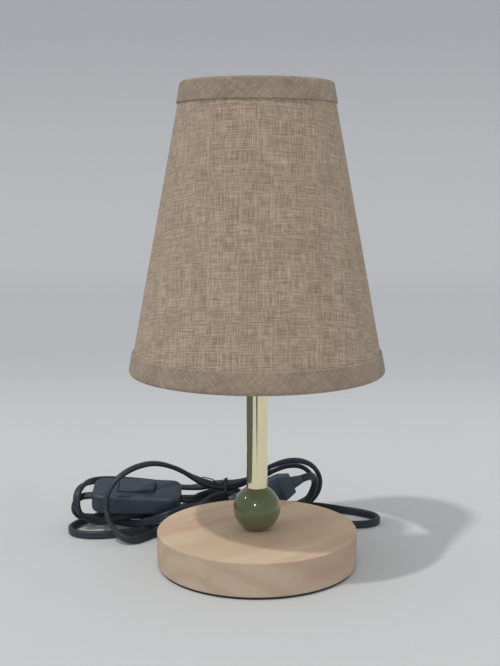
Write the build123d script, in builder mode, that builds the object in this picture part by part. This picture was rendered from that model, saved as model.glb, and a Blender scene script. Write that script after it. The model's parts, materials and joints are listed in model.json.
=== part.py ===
from build123d import *
import os
from math import asin, atan2, cos, degrees, hypot, pi, radians, sin, sqrt, tan

# Table lamp used as a night light: turned wooden foot, short tube, tapered linen shade,
# flat cord in a tied hank with a rocker switch and a two-blade plug.
# Origin at the centre of the foot's underside, Z up, the viewer on the -Y side.

# Gaps between pieces
slip = 0.1
face_gap = 0.1
turn_gap = 0.3
fold_gap = 0.15
seat_play = 0.05

# Foot
base_diameter = 120.0
base_height = 20.0
base_edge = 0.8
pad_diameter = 117.0
pad_height = 1.5
recess_diameter = 36.0
recess_depth = 15.0
ball_diameter = 28.4
ball_flat_diameter = 12.0

# Tube and rod
rod_diameter = 10.0
rod_bore = 7.0
rod_in_holder = 8.5
tube_diameter = 12.7
tube_wall = 1.0
tube_length = 70.0
nut_width = 14.0
nut_height = 4.0
washer_diameter = 24.0
washer_thickness = 1.5
rod_past_nut = 0.5

# Cord
cord_diameter = 4.2
cord_exit_height = 7.0
cord_exit_angle = 140.0
grommet_diameter = 9.0
grommet_depth = 6.0
grommet_flange = 11.0
grommet_lip = 2.0
cord_hole_diameter = 6.0
inner_bend = 4.5
cord_past_rod = 2.3
wire_diameter = 1.8
wire_bend = 1.4

# Lamp holder
neck_diameter = 16.0
neck_height = 6.0
neck_thread = 9.0
cap_diameter = 42.0
cap_dome_height = 24.0
cap_height = 28.0
cap_wall = 2.0
grub_diameter = 3.0
grub_height = 3.0
skirt_setback = 1.2
skirt_wall = 2.3
skirt_height = 30.0
collar_diameter = 46.0
collar_height = 3.0
spigot_depth = 6.0
core_height = 10.0
core_below_collar = 4.2
lip_gap = 1.7
lip_height = 1.5
terminal_width = 5.0
terminal_depth = 6.0
terminal_height = 6.0
terminal_offset = 8.0
strip_thickness = 0.6
strip_width = 4.0
screw_shell_bore = 27.0
screw_shell_wall = 0.6
screw_shell_height = 23.0
screw_shell_hole = 18.0
contact_rise = 1.8

# Bulb
bulb_cap_diameter = 26.2
bulb_cap_length = 21.5
bulb_cap_wall = 0.6
tip_diameter = 9.6
tip_height = 1.4
insulator_height = 3.5
insulator_diameter = 23.0
housing_height = 16.0
housing_spigot = 4.0
globe_diameter = 45.2
globe_base_drop = 13.0
globe_wall = 1.0

# Shade
shade_bottom_radius = 75.5
shade_bottom_height = 118.1
shade_top_radius = 43.8
shade_top_height = 285.0
cloth_thickness = 0.8
liner_thickness = 0.7
trim_width = 12.5
trim_turn = 165.0
wire_ring_diameter = 2.4
cover_inset = 4.6
liner_inset = 5.2
fitter_rim = 0.5
fitter_thickness = 1.5
arm_diameter = 2.8
arm_count = 3
arm_first_angle = 90.0
arm_straight = 4.4
arm_bend = 6.0
ring_nut_flange = 3.0
ring_nut_flange_height = 2.5
ring_nut_wall = 3.0
ring_nut_height = 9.0

# Switch on the cord, laid against the hank with its far side higher and its left end higher
switch_centre = (-79.3, 64.6, 21.3)
switch_tilt = 12.7
switch_roll = 2.3
switch_length = 58.0
switch_width = 27.0
switch_base_height = 6.0
switch_cover_height = 7.0
switch_corner = 7.0
switch_round = 2.5
switch_wall = 1.8
rocker_reach = 12.2
rocker_width = 12.0
rocker_pivot_height = 4.4
rocker_pivot_cover = 3.17
rocker_depth = 3.2
rocker_edge_depth = 1.2
rocker_throw = 14.0
pin_radius = 1.4
pivot_wall = 1.6
pivot_wall_drop = 4.4
post_radius = 2.6
post_place = (22.0, 8.2)
case_screw_radius = 1.2
case_screw_head = 2.3
case_screw_head_height = 1.4
case_screw_length = 8.0
contact_lane = 3.1
contact_width = 3.0
contact_thickness = 0.8
contact_end = 24.0
contact_pad = (-6.2, 3.4)
rivet_offset = -7.0
rivet_radius = 1.1

# Plug
plug_end = (23.5, 71.0, 29.2)
plug_direction = (-0.92, -0.12, -0.36)
plug_length = 26.0
plug_width = 13.0
plug_tall = 17.0
plug_taper = 7.0
plug_neck_width = 9.4
plug_neck_tall = 13.0
plug_corner = 3.0
plug_edge = 1.2
grip_count = 4
grip_pitch = 3.2
grip_depth = 0.6
grip_width = 1.4
blade_width = 6.35
blade_thickness = 1.5
blade_length = 17.0
blade_spacing = 12.7
blade_socket = 8.0
blade_hole = 3.0
blade_hole_back = 4.0
relief_length = 7.0
relief_wide = 8.4
relief_narrow = 5.2

# Hank: seven strands pass the waist in three rows, then open into loops
waist_x = -21.5
waist_half = 7.0
strand_y = 86.1
strand_z = 18.2
strand_step = 5.8
row_step = 5.2
tie_width = 3.4
tie_thickness = 0.9
tie_gap = 0.3
tie_twist_length = 3.0
tie_twist_diameter = 2.8
tie_tail_length = 14.0
tie_tail_diameter = 1.2

# Sizes and heights that follow
skirt_diameter = cap_diameter - 2 * skirt_setback
base_top = pad_height + base_height
recess_top = pad_height + recess_depth
washer_bottom = recess_top - washer_thickness
nut_bottom = washer_bottom - nut_height
rod_bottom = nut_bottom - rod_past_nut
ball_half = sqrt(ball_diameter**2 - ball_flat_diameter**2) / 2
tube_bottom = base_top + 2 * ball_half
cap_bottom = tube_bottom + tube_length
cap_top = cap_bottom + cap_height
collar_top = cap_top + collar_height
rod_top = cap_bottom + rod_in_holder
cord_top = rod_top + cord_past_rod
core_bottom = cap_top - core_below_collar
core_top = core_bottom + core_height
terminal_bottom = core_bottom - terminal_height
contact_top = core_top + strip_thickness + contact_rise
tip_bottom = contact_top + 2 * face_gap
insulator_bottom = tip_bottom + tip_height
bulb_cap_bottom = insulator_bottom + insulator_height
bulb_cap_top = bulb_cap_bottom + bulb_cap_length
housing_top = bulb_cap_top + housing_height
globe_centre = housing_top + globe_base_drop
globe_seat_radius = sqrt((globe_diameter / 2) ** 2 - globe_base_drop**2)
fitter_bottom = collar_top + face_gap
fitter_middle = fitter_bottom + fitter_thickness / 2
ring_nut_bottom = fitter_bottom + fitter_thickness + face_gap


def section(points):
    """Closed outline in radius and height, to be turned about Z."""
    with BuildSketch(Plane.XZ) as outline:
        with BuildLine():
            Polyline(*points, close=True)
        make_face()
    return outline.sketch


def bend_radii(points):
    """Largest arc that each corner's two runs leave room for."""
    radii = []
    for before, here, after in zip(points, points[1:], points[2:]):
        run_in = Vector(*here) - Vector(*before)
        run_out = Vector(*after) - Vector(*here)
        half_turn = radians(run_in.get_angle(run_out)) / 2
        radii.append(0.45 * min(run_in.length, run_out.length) / tan(half_turn))
    return radii


def square_to(wire):
    """Plane across the start of a wire."""
    return Plane(origin=wire @ 0, z_dir=wire % 0)


def on_cone(slant, depth):
    """Radius and height at a distance up the shade's side and a depth behind its face."""
    radius = shade_bottom_radius + slant * slope_x - depth * normal_x
    height = shade_bottom_height + slant * slope_z - depth * normal_z
    return (radius, height)


def band(depth, thickness, inset):
    """Outline of a conical layer of the shade."""
    return section([
        on_cone(inset, depth),
        on_cone(slant_length - inset, depth),
        on_cone(slant_length - inset, depth + thickness),
        on_cone(inset, depth + thickness),
    ])


# Foot: disc with a recess for the nut and a drilled way for the cord
exit_way = Plane(
    origin=(0, 0, cord_exit_height),
    x_dir=(-sin(radians(cord_exit_angle)), cos(radians(cord_exit_angle)), 0),
    z_dir=(cos(radians(cord_exit_angle)), sin(radians(cord_exit_angle)), 0),
)
with BuildPart() as base_disc:
    revolve(section([
        (rod_diameter / 2 + slip, recess_top),
        (rod_diameter / 2 + slip, base_top),
        (base_diameter / 2, base_top),
        (base_diameter / 2, pad_height),
        (recess_diameter / 2, pad_height),
        (recess_diameter / 2, recess_top),
    ]), axis=Axis.Z)
    rims = base_disc.edges().filter_by(GeomType.CIRCLE).group_by(lambda edge: edge.radius)[-1]
    fillet(rims, radius=base_edge)
    with BuildSketch(exit_way.offset(recess_diameter / 2 - cord_hole_diameter / 2)):
        Circle(cord_hole_diameter / 2)
    extrude(amount=base_diameter / 2, mode=Mode.SUBTRACT)
    with BuildSketch(exit_way.offset(base_diameter / 2 - grommet_depth)):
        Circle(grommet_diameter / 2 + seat_play)
    extrude(amount=base_diameter / 2, mode=Mode.SUBTRACT)

with BuildPart() as base_pad:
    with BuildSketch():
        Circle(pad_diameter / 2)
    extrude(amount=pad_height)

with BuildPart() as cord_grommet:
    with BuildSketch(exit_way.offset(base_diameter / 2 - grommet_depth)):
        Circle(grommet_diameter / 2)
    extrude(amount=grommet_depth + grommet_lip)
    with BuildSketch(exit_way.offset(base_diameter / 2)):
        Circle(grommet_flange / 2)
    extrude(amount=grommet_lip)
    lip_edges = cord_grommet.edges().filter_by(GeomType.CIRCLE).group_by(lambda edge: edge.radius)[-1]
    fillet(lip_edges, radius=grommet_lip / 4)
    with BuildSketch(exit_way.offset(base_diameter / 2 - grommet_depth)):
        Circle(cord_diameter / 2 + slip)
    extrude(amount=grommet_depth + grommet_lip, mode=Mode.SUBTRACT)

# Ball with flats above and below
with BuildPart() as ball:
    with BuildSketch(Plane.XZ):
        with BuildLine():
            Polyline(
                (ball_flat_diameter / 2, tube_bottom),
                (rod_diameter / 2 + slip, tube_bottom),
                (rod_diameter / 2 + slip, base_top),
                (ball_flat_diameter / 2, base_top),
            )
            ThreePointArc(
                (ball_flat_diameter / 2, base_top),
                (ball_diameter / 2, base_top + ball_half),
                (ball_flat_diameter / 2, tube_bottom),
            )
        make_face()
    revolve(axis=Axis.Z)

with BuildPart() as stem_tube:
    with BuildSketch(Plane.XY.offset(tube_bottom)):
        Circle(tube_diameter / 2)
        Circle(tube_diameter / 2 - tube_wall, mode=Mode.SUBTRACT)
    extrude(amount=tube_length)

with BuildPart() as threaded_rod:
    with BuildSketch(Plane.XY.offset(rod_bottom)):
        Circle(rod_diameter / 2)
        Circle(rod_bore / 2, mode=Mode.SUBTRACT)
    extrude(amount=rod_top - rod_bottom)

with BuildPart() as base_washer:
    with BuildSketch(Plane.XY.offset(washer_bottom)):
        Circle(washer_diameter / 2)
        Circle(rod_diameter / 2 + slip, mode=Mode.SUBTRACT)
    extrude(amount=washer_thickness)

with BuildPart() as base_nut:
    with BuildSketch(Plane.XY.offset(nut_bottom)):
        RegularPolygon(radius=nut_width / 2, side_count=6, major_radius=False)
        Circle(rod_diameter / 2 + seat_play, mode=Mode.SUBTRACT)
    extrude(amount=nut_height)

# Cord's inner run: through the foot, then up the rod
exit_radius = base_diameter / 2 + grommet_lip
exit_x = cos(radians(cord_exit_angle))
exit_y = sin(radians(cord_exit_angle))
with BuildPart() as cord_inner:
    with BuildLine() as inner_path:
        FilletPolyline(
            (exit_radius * exit_x, exit_radius * exit_y, cord_exit_height),
            (0, 0, cord_exit_height),
            (0, 0, cord_top),
            radius=[inner_bend],
        )
    with BuildSketch(square_to(inner_path.wire())):
        Circle(cord_diameter / 2)
    sweep()

# Two wires from the cord's end to the terminals
wires = []
for side in (-1, 1):
    with BuildPart() as wire:
        with BuildLine() as wire_path:
            FilletPolyline(
                (side * (wire_diameter / 2 + slip), 0, cord_top),
                (side * (wire_diameter / 2 + slip), 0, cord_top + wire_bend),
                (side * terminal_offset, 0, terminal_bottom - wire_bend),
                (side * terminal_offset, 0, terminal_bottom),
                radius=wire_bend / 2,
            )
        with BuildSketch(square_to(wire_path.wire())):
            Circle(wire_diameter / 2)
        sweep()
    wires.append(wire)

# Lamp holder: cap with a threaded neck under a dome
dome_bottom = (neck_diameter / 2 + 1, cap_bottom + neck_height)
dome_middle = (cap_diameter / 2 * 0.83, cap_bottom + neck_height + 0.36 * (cap_dome_height - neck_height))
dome_top = (cap_diameter / 2, cap_bottom + cap_dome_height)
hollow_start = (neck_diameter / 2 - 1.5, cap_bottom + neck_thread + 1)
hollow_middle = (dome_middle[0] - 0.85 * cap_wall, dome_middle[1] + 0.85 * cap_wall)
hollow_top = (cap_diameter / 2 - cap_wall, cap_bottom + cap_dome_height)
with BuildPart() as holder_cap:
    with BuildSketch(Plane.XZ):
        with BuildLine():
            Polyline(
                hollow_start,
                (rod_diameter / 2 + seat_play, cap_bottom + neck_thread),
                (rod_diameter / 2 + seat_play, cap_bottom),
                (neck_diameter / 2, cap_bottom),
                (neck_diameter / 2, cap_bottom + neck_height),
                dome_bottom,
            )
            ThreePointArc(dome_bottom, dome_middle, dome_top)
            Polyline(
                dome_top,
                (cap_diameter / 2, cap_top),
                (cap_diameter / 2 - cap_wall, cap_top),
                hollow_top,
            )
            ThreePointArc(hollow_top, hollow_middle, hollow_start)
        make_face()
    revolve(axis=Axis.Z)
    with BuildSketch(Plane.XZ.offset(0)):
        with Locations((0, cap_bottom + grub_height)):
            Circle(grub_diameter / 2 + seat_play)
    extrude(amount=neck_diameter, mode=Mode.SUBTRACT)

with BuildPart() as holder_grub_screw:
    with BuildSketch(Plane.XZ.offset(rod_diameter / 2 + seat_play)):
        with Locations((0, cap_bottom + grub_height)):
            Circle(grub_diameter / 2)
    extrude(amount=(neck_diameter - rod_diameter) / 2)
    with BuildSketch(Plane.XZ.offset(neck_diameter / 2 + seat_play)):
        with Locations((0, cap_bottom + grub_height)):
            Rectangle(grub_diameter, grub_diameter / 6)
    extrude(amount=-grub_diameter / 5, mode=Mode.SUBTRACT)

# Lamp holder: outer shell with collar and threaded skirt
skirt_bore = skirt_diameter / 2 - skirt_wall
lip_bore = screw_shell_bore / 2 + screw_shell_wall + lip_gap
with BuildPart() as holder_shell:
    revolve(section([
        (skirt_bore, cap_top - spigot_depth),
        (cap_diameter / 2 - cap_wall - 2 * slip, cap_top - spigot_depth),
        (cap_diameter / 2 - cap_wall - 2 * slip, cap_top),
        (collar_diameter / 2, cap_top),
        (collar_diameter / 2, collar_top),
        (skirt_diameter / 2, collar_top),
        (skirt_diameter / 2, collar_top + skirt_height),
        (skirt_bore, collar_top + skirt_height),
        (skirt_bore, core_top + lip_height),
        (lip_bore, core_top + lip_height),
        (lip_bore, core_top),
        (skirt_bore, core_top),
    ]), axis=Axis.Z)
    collar_rim = holder_shell.edges().filter_by(GeomType.CIRCLE).group_by(lambda edge: edge.radius)[-1]
    fillet(collar_rim, radius=collar_height / 5)

side_strip_x = terminal_offset + terminal_width / 2 - 1.5 * strip_thickness
centre_strip_x = -terminal_offset + strip_thickness
with BuildPart() as holder_core:
    with BuildSketch(Plane.XY.offset(core_bottom)):
        Circle(skirt_bore - turn_gap)
        with Locations((side_strip_x, 0), (centre_strip_x, 0)):
            Rectangle(strip_thickness + slip, strip_width + slip, mode=Mode.SUBTRACT)
    extrude(amount=core_height)

terminals = []
for side in (-1, 1):
    with BuildPart() as terminal:
        with BuildSketch(Plane.XY.offset(terminal_bottom)):
            with Locations((side * terminal_offset, 0)):
                Rectangle(terminal_width, terminal_depth)
        extrude(amount=terminal_height)
    terminals.append(terminal)

with BuildPart() as side_contact:
    with BuildSketch(Plane.XY.offset(core_bottom)):
        with Locations((side_strip_x, 0)):
            Rectangle(strip_thickness, strip_width)
    extrude(amount=core_height)

with BuildPart() as centre_contact:
    leg = centre_strip_x - strip_thickness / 2
    with BuildSketch(Plane.XZ):
        with BuildLine():
            Polyline(
                (leg, core_bottom),
                (leg, core_top + strip_thickness),
                (0, core_top + strip_thickness),
                (3.4, contact_top),
                (5.4, contact_top),
                (5.4, contact_top - strip_thickness),
                (3.6, contact_top - strip_thickness),
                (0.2, core_top),
                (leg + strip_thickness, core_top),
                (leg + strip_thickness, core_bottom),
                close=True,
            )
        make_face()
    extrude(amount=strip_width / 2, both=True)

with BuildPart() as screw_shell:
    revolve(section([
        (screw_shell_hole / 2, core_top),
        (screw_shell_bore / 2 + screw_shell_wall, core_top),
        (screw_shell_bore / 2 + screw_shell_wall, core_top + screw_shell_height),
        (screw_shell_bore / 2, core_top + screw_shell_height),
        (screw_shell_bore / 2, core_top + screw_shell_wall),
        (screw_shell_hole / 2, core_top + screw_shell_wall),
    ]), axis=Axis.Z)

# Nut that holds the shade's carrier down on the collar
ring_nut_bore = skirt_diameter / 2 + 2 * slip
ring_nut_body = ring_nut_bore + ring_nut_wall
with BuildPart() as shade_ring_nut:
    revolve(section([
        (ring_nut_bore, ring_nut_bottom),
        (ring_nut_body + ring_nut_flange, ring_nut_bottom),
        (ring_nut_body + ring_nut_flange, ring_nut_bottom + ring_nut_flange_height),
        (ring_nut_body, ring_nut_bottom + ring_nut_flange_height),
        (ring_nut_body, ring_nut_bottom + ring_nut_height),
        (ring_nut_bore, ring_nut_bottom + ring_nut_height),
    ]), axis=Axis.Z)
    nut_rims = shade_ring_nut.edges().filter_by(GeomType.CIRCLE).group_by(lambda edge: edge.radius)[-1]
    fillet(nut_rims, radius=ring_nut_flange_height / 4)

# Bulb
with BuildPart() as bulb_tip:
    revolve(section([
        (0, tip_bottom),
        (tip_diameter / 2, tip_bottom),
        (tip_diameter / 2, insulator_bottom),
        (insulator_diameter / 2, bulb_cap_bottom),
        (0, bulb_cap_bottom),
    ]), axis=Axis.Z)

with BuildPart() as bulb_cap:
    revolve(section([
        (tip_diameter / 2, bulb_cap_bottom),
        (insulator_diameter / 2, bulb_cap_bottom),
        (bulb_cap_diameter / 2, bulb_cap_bottom + 2 * bulb_cap_wall),
        (bulb_cap_diameter / 2, bulb_cap_top),
        (bulb_cap_diameter / 2 - bulb_cap_wall, bulb_cap_top),
        (bulb_cap_diameter / 2 - bulb_cap_wall, bulb_cap_bottom + 3 * bulb_cap_wall),
        (insulator_diameter / 2, bulb_cap_bottom + bulb_cap_wall),
        (tip_diameter / 2, bulb_cap_bottom + bulb_cap_wall),
    ]), axis=Axis.Z)

with BuildPart() as bulb_housing:
    with BuildSketch(Plane.XZ):
        with BuildLine():
            Polyline(
                (globe_seat_radius, housing_top),
                (0, housing_top),
                (0, bulb_cap_top - housing_spigot),
                (bulb_cap_diameter / 2 - bulb_cap_wall - slip, bulb_cap_top - housing_spigot),
                (bulb_cap_diameter / 2 - bulb_cap_wall - slip, bulb_cap_top),
                (bulb_cap_diameter / 2, bulb_cap_top),
            )
            ThreePointArc(
                (bulb_cap_diameter / 2, bulb_cap_top),
                ((bulb_cap_diameter / 2 + globe_seat_radius) / 2 - 0.6, bulb_cap_top + housing_height / 2 + 0.8),
                (globe_seat_radius, housing_top),
            )
        make_face()
    revolve(axis=Axis.Z)

with BuildPart() as bulb_globe:
    inner_globe = globe_diameter / 2 - globe_wall
    inner_seat = sqrt(inner_globe**2 - globe_base_drop**2)
    with BuildSketch(Plane.XZ):
        with BuildLine():
            Line((inner_seat, housing_top), (globe_seat_radius, housing_top))
            ThreePointArc(
                (globe_seat_radius, housing_top),
                (globe_diameter / 2, globe_centre),
                (0, globe_centre + globe_diameter / 2),
            )
            Line((0, globe_centre + globe_diameter / 2), (0, globe_centre + inner_globe))
            ThreePointArc((0, globe_centre + inner_globe), (inner_globe, globe_centre), (inner_seat, housing_top))
        make_face()
    revolve(axis=Axis.Z)

# Shade: the side's slope, its layers and the rolled trims
slant_x = shade_top_radius - shade_bottom_radius
slant_z = shade_top_height - shade_bottom_height
slant_length = hypot(slant_x, slant_z)
slope_x = slant_x / slant_length
slope_z = slant_z / slant_length
normal_x = slope_z
normal_z = -slope_x
side_angle = degrees(atan2(normal_z, normal_x))
roll_inner = wire_ring_diameter / 2 + fold_gap
roll_outer = roll_inner + cloth_thickness
cover_depth = cloth_thickness + fold_gap
liner_depth = cover_depth + cloth_thickness + fold_gap
bottom_ring_place = on_cone(roll_outer, roll_outer)
top_ring_place = on_cone(slant_length - roll_outer, roll_outer)

with BuildPart() as shade_cover:
    revolve(band(cover_depth, cloth_thickness, cover_inset), axis=Axis.Z)

with BuildPart() as shade_liner:
    revolve(band(liner_depth, liner_thickness, liner_inset), axis=Axis.Z)

rings = []
for ring_radius, ring_height in (bottom_ring_place, top_ring_place):
    with BuildPart() as wire_ring:
        with BuildSketch(Plane.XZ):
            with Locations((ring_radius, ring_height)):
                Circle(wire_ring_diameter / 2)
        revolve(axis=Axis.Z)
    rings.append(wire_ring)

trims = []
for ring_place, turn, leg_from, leg_to in (
    (bottom_ring_place, -trim_turn, roll_outer, trim_width),
    (top_ring_place, trim_turn, slant_length - roll_outer, slant_length - trim_width),
):
    around = [side_angle + turn * step for step in (0, 0.5, 1)]
    outer_arc = [Vector(*ring_place) + Vector(roll_outer, 0).rotate(Axis.Z, angle) for angle in around]
    inner_arc = [Vector(*ring_place) + Vector(roll_inner, 0).rotate(Axis.Z, angle) for angle in around]
    with BuildPart() as trim:
        with BuildSketch(Plane.XZ):
            with BuildLine():
                ThreePointArc(*outer_arc)
                Line(outer_arc[2], inner_arc[2])
                ThreePointArc(*reversed(inner_arc))
                Polyline(
                    inner_arc[0],
                    on_cone(leg_to, cloth_thickness),
                    on_cone(leg_to, 0),
                    outer_arc[0],
                )
            make_face()
        revolve(axis=Axis.Z)
    trims.append(trim)

# Shade's carrier: a flat ring on the collar and three bent wires down to the bottom ring
fitter_radius = ring_nut_body + ring_nut_flange + fitter_rim
with BuildPart() as fitter_ring:
    with BuildSketch(Plane.XY.offset(fitter_bottom)):
        Circle(fitter_radius)
        Circle(skirt_diameter / 2 + turn_gap, mode=Mode.SUBTRACT)
    extrude(amount=fitter_thickness)

arm_start = fitter_radius + face_gap
arm_knee = arm_start + arm_straight
arm_run = Vector(bottom_ring_place[0] - arm_knee, bottom_ring_place[1] - fitter_middle)
arm_end = Vector(*bottom_ring_place) - arm_run.normalized() * (wire_ring_diameter / 2 + face_gap)
arms = []
for index in range(arm_count):
    angle = radians(arm_first_angle + index * 360 / arm_count)
    with BuildPart() as arm:
        with BuildLine() as arm_path:
            FilletPolyline(
                (arm_start * cos(angle), arm_start * sin(angle), fitter_middle),
                (arm_knee * cos(angle), arm_knee * sin(angle), fitter_middle),
                (arm_end.X * cos(angle), arm_end.X * sin(angle), arm_end.Y),
                radius=[arm_bend],
            )
        with BuildSketch(square_to(arm_path.wire())):
            Circle(arm_diameter / 2)
        sweep()
    arms.append(arm)

# Switch: its own frame, with X along the cord and Z out of the rocker's side
tilt = radians(switch_tilt)
roll = radians(switch_roll)
switch_along = Vector(cos(roll), sin(roll) * sin(tilt), -sin(roll) * cos(tilt))
switch_up = Vector(sin(roll), -cos(roll) * sin(tilt), cos(roll) * cos(tilt))
switch_across = switch_up.cross(switch_along)
parting = Plane(origin=switch_centre, x_dir=switch_along, z_dir=switch_up)
upward = Axis(parting.origin, parting.z_dir)
post_spots = [(-post_place[0], post_place[1]), (post_place[0], -post_place[1])]
inner_length = switch_length - 2 * switch_wall
inner_width = switch_width - 2 * switch_wall
floor_drop = switch_base_height - switch_wall
ceiling = switch_cover_height - switch_wall

with BuildPart() as switch_base:
    with BuildSketch(parting.offset(-switch_base_height)):
        RectangleRounded(switch_length, switch_width, switch_corner)
    extrude(amount=switch_base_height)
    fillet(switch_base.faces().sort_by(upward)[0].edges(), radius=switch_round)
    with BuildSketch(parting):
        RectangleRounded(inner_length, inner_width, switch_corner - switch_wall)
    extrude(amount=-floor_drop, mode=Mode.SUBTRACT)
    with BuildSketch(parting):
        with Locations(*post_spots):
            Circle(post_radius)
    extrude(amount=-floor_drop)
    with BuildSketch(parting):
        with Locations(*post_spots):
            Circle(case_screw_radius + slip)
    extrude(amount=-switch_base_height, mode=Mode.SUBTRACT)
    with BuildSketch(parting.offset(-switch_base_height)):
        with Locations(*post_spots):
            Circle(case_screw_head + slip)
    extrude(amount=case_screw_head_height, mode=Mode.SUBTRACT)

opening_half = rocker_reach + turn_gap
wall_inside = rocker_width / 2 + turn_gap
pivot = parting.from_local_coords((0, 0, rocker_pivot_height))
pivot_plane = Plane(origin=pivot, x_dir=switch_along, z_dir=-switch_across)
with BuildPart() as switch_cover:
    with BuildSketch(parting):
        RectangleRounded(switch_length, switch_width, switch_corner)
    extrude(amount=switch_cover_height)
    fillet(switch_cover.faces().sort_by(upward)[-1].edges(), radius=switch_round)
    with BuildSketch(parting):
        RectangleRounded(inner_length, inner_width, switch_corner - switch_wall)
    extrude(amount=ceiling, mode=Mode.SUBTRACT)
    with BuildSketch(parting.offset(ceiling - pivot_wall_drop)):
        Rectangle(2 * (opening_half + pivot_wall), 2 * (wall_inside + pivot_wall))
    extrude(amount=pivot_wall_drop)
    with BuildSketch(parting):
        Rectangle(2 * opening_half, 2 * wall_inside)
    extrude(amount=switch_cover_height, mode=Mode.SUBTRACT)
    with BuildSketch(pivot_plane):
        Circle(pin_radius + seat_play)
    extrude(amount=wall_inside + pivot_wall, both=True, mode=Mode.SUBTRACT)
    with BuildSketch(parting):
        with Locations(*post_spots):
            Circle(post_radius)
    extrude(amount=ceiling)
    with BuildSketch(parting):
        with Locations(*post_spots):
            Circle(case_screw_radius + seat_play)
    extrude(amount=ceiling - switch_wall / 2, mode=Mode.SUBTRACT)

# Rocker, lying over to its left end, on two pins
rest_lean = radians(rocker_throw / 2)
rocker_along = switch_along * cos(rest_lean) + switch_up * sin(rest_lean)
rocker_frame = Plane(origin=pivot, x_dir=rocker_along, z_dir=-switch_across)
slope = tan(rest_lean)
end_height = rocker_pivot_cover + slope * 0.908 * rocker_reach
top_angle = asin(end_height / rocker_reach)
low_angle = -asin(rocker_edge_depth / rocker_reach)
mid_angle = (top_angle + low_angle) / 2
right_end = [(rocker_reach * cos(a), rocker_reach * sin(a)) for a in (top_angle, mid_angle, low_angle)]
left_end = [(-x, y) for x, y in reversed(right_end)]
with BuildPart() as switch_rocker:
    with BuildSketch(rocker_frame):
        with BuildLine():
            Polyline(left_end[2], (0, rocker_pivot_cover), right_end[0])
            ThreePointArc(*right_end)
            Polyline(right_end[2], (0, -rocker_depth), left_end[0])
            ThreePointArc(*left_end)
        make_face()
    extrude(amount=rocker_width / 2, both=True)
    with BuildSketch(rocker_frame):
        Circle(pin_radius)
    extrude(amount=wall_inside + pivot_wall - slip, both=True)

# Contact under the rocker's left half, resting above the left strip
under_slope = (rocker_depth - rocker_edge_depth) / right_end[2][0]
floor_rise = floor_drop - 2 * contact_thickness
rivet_edge = rivet_offset - rivet_radius
rivet_low = -(rocker_pivot_height + floor_rise - turn_gap + rivet_edge * sin(rest_lean))
rivet_low = rivet_low / cos(rest_lean)
rivet_top = -rocker_depth - under_slope * rivet_offset
lane_plane = Plane(
    origin=rocker_frame.origin + switch_across * contact_lane,
    x_dir=rocker_frame.x_dir,
    z_dir=rocker_frame.z_dir,
)
with BuildPart() as switch_moving_contact:
    plate_ends = (rivet_offset - 2.5, rivet_offset + 4.5)
    plate_top = [(x, -rocker_depth - under_slope * x) for x in plate_ends]
    plate_low = [(x, y - contact_thickness) for x, y in reversed(plate_top)]
    with BuildSketch(lane_plane):
        with BuildLine():
            Polyline(*plate_top, *plate_low, close=True)
        make_face()
    extrude(amount=contact_width / 2, both=True)
    with BuildSketch(lane_plane):
        with BuildLine():
            Polyline(
                (rivet_offset - rivet_radius, rivet_top - contact_thickness / 2),
                (rivet_offset + rivet_radius, rivet_top - contact_thickness / 2),
                (rivet_offset + rivet_radius, rivet_low),
                (rivet_offset - rivet_radius, rivet_low),
                close=True,
            )
        make_face()
    extrude(amount=rivet_radius, both=True)

# Strips on the switch's floor: a broken conductor and a through one
strip_floor = parting.offset(-floor_drop)
with BuildPart() as switch_contact_left:
    with BuildSketch(strip_floor):
        with Locations(((contact_pad[0] + contact_pad[1] / 2 - contact_end) / 2, contact_lane)):
            Rectangle(contact_end + contact_pad[0] + contact_pad[1] / 2, contact_width)
    extrude(amount=contact_thickness)
    with BuildSketch(strip_floor):
        with Locations((contact_pad[0], contact_lane)):
            Rectangle(contact_pad[1], contact_width)
    extrude(amount=2 * contact_thickness)

with BuildPart() as switch_contact_right:
    with BuildSketch(strip_floor):
        with Locations((contact_end / 2, contact_lane)):
            Rectangle(contact_end, contact_width)
    extrude(amount=contact_thickness)
    with BuildSketch(strip_floor):
        with Locations((contact_thickness, contact_lane)):
            Rectangle(2 * contact_thickness, contact_width)
    extrude(amount=floor_drop / 2)

with BuildPart() as switch_through_strip:
    with BuildSketch(strip_floor):
        with Locations((0, -contact_lane)):
            Rectangle(2 * contact_end, contact_width)
    extrude(amount=contact_thickness)

case_screws = []
for spot in post_spots:
    with BuildPart() as case_screw:
        with BuildSketch(parting.offset(-switch_base_height)):
            with Locations(spot):
                Circle(case_screw_head)
        extrude(amount=case_screw_head_height)
        with BuildSketch(parting.offset(-switch_base_height)):
            with Locations(spot):
                Circle(case_screw_radius)
        extrude(amount=case_screw_length)
        with BuildSketch(parting.offset(-switch_base_height)):
            with Locations(spot):
                Rectangle(2 * case_screw_head, case_screw_head / 4, rotation=30)
        extrude(amount=case_screw_head_height / 2, mode=Mode.SUBTRACT)
    case_screws.append(case_screw)

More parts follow.
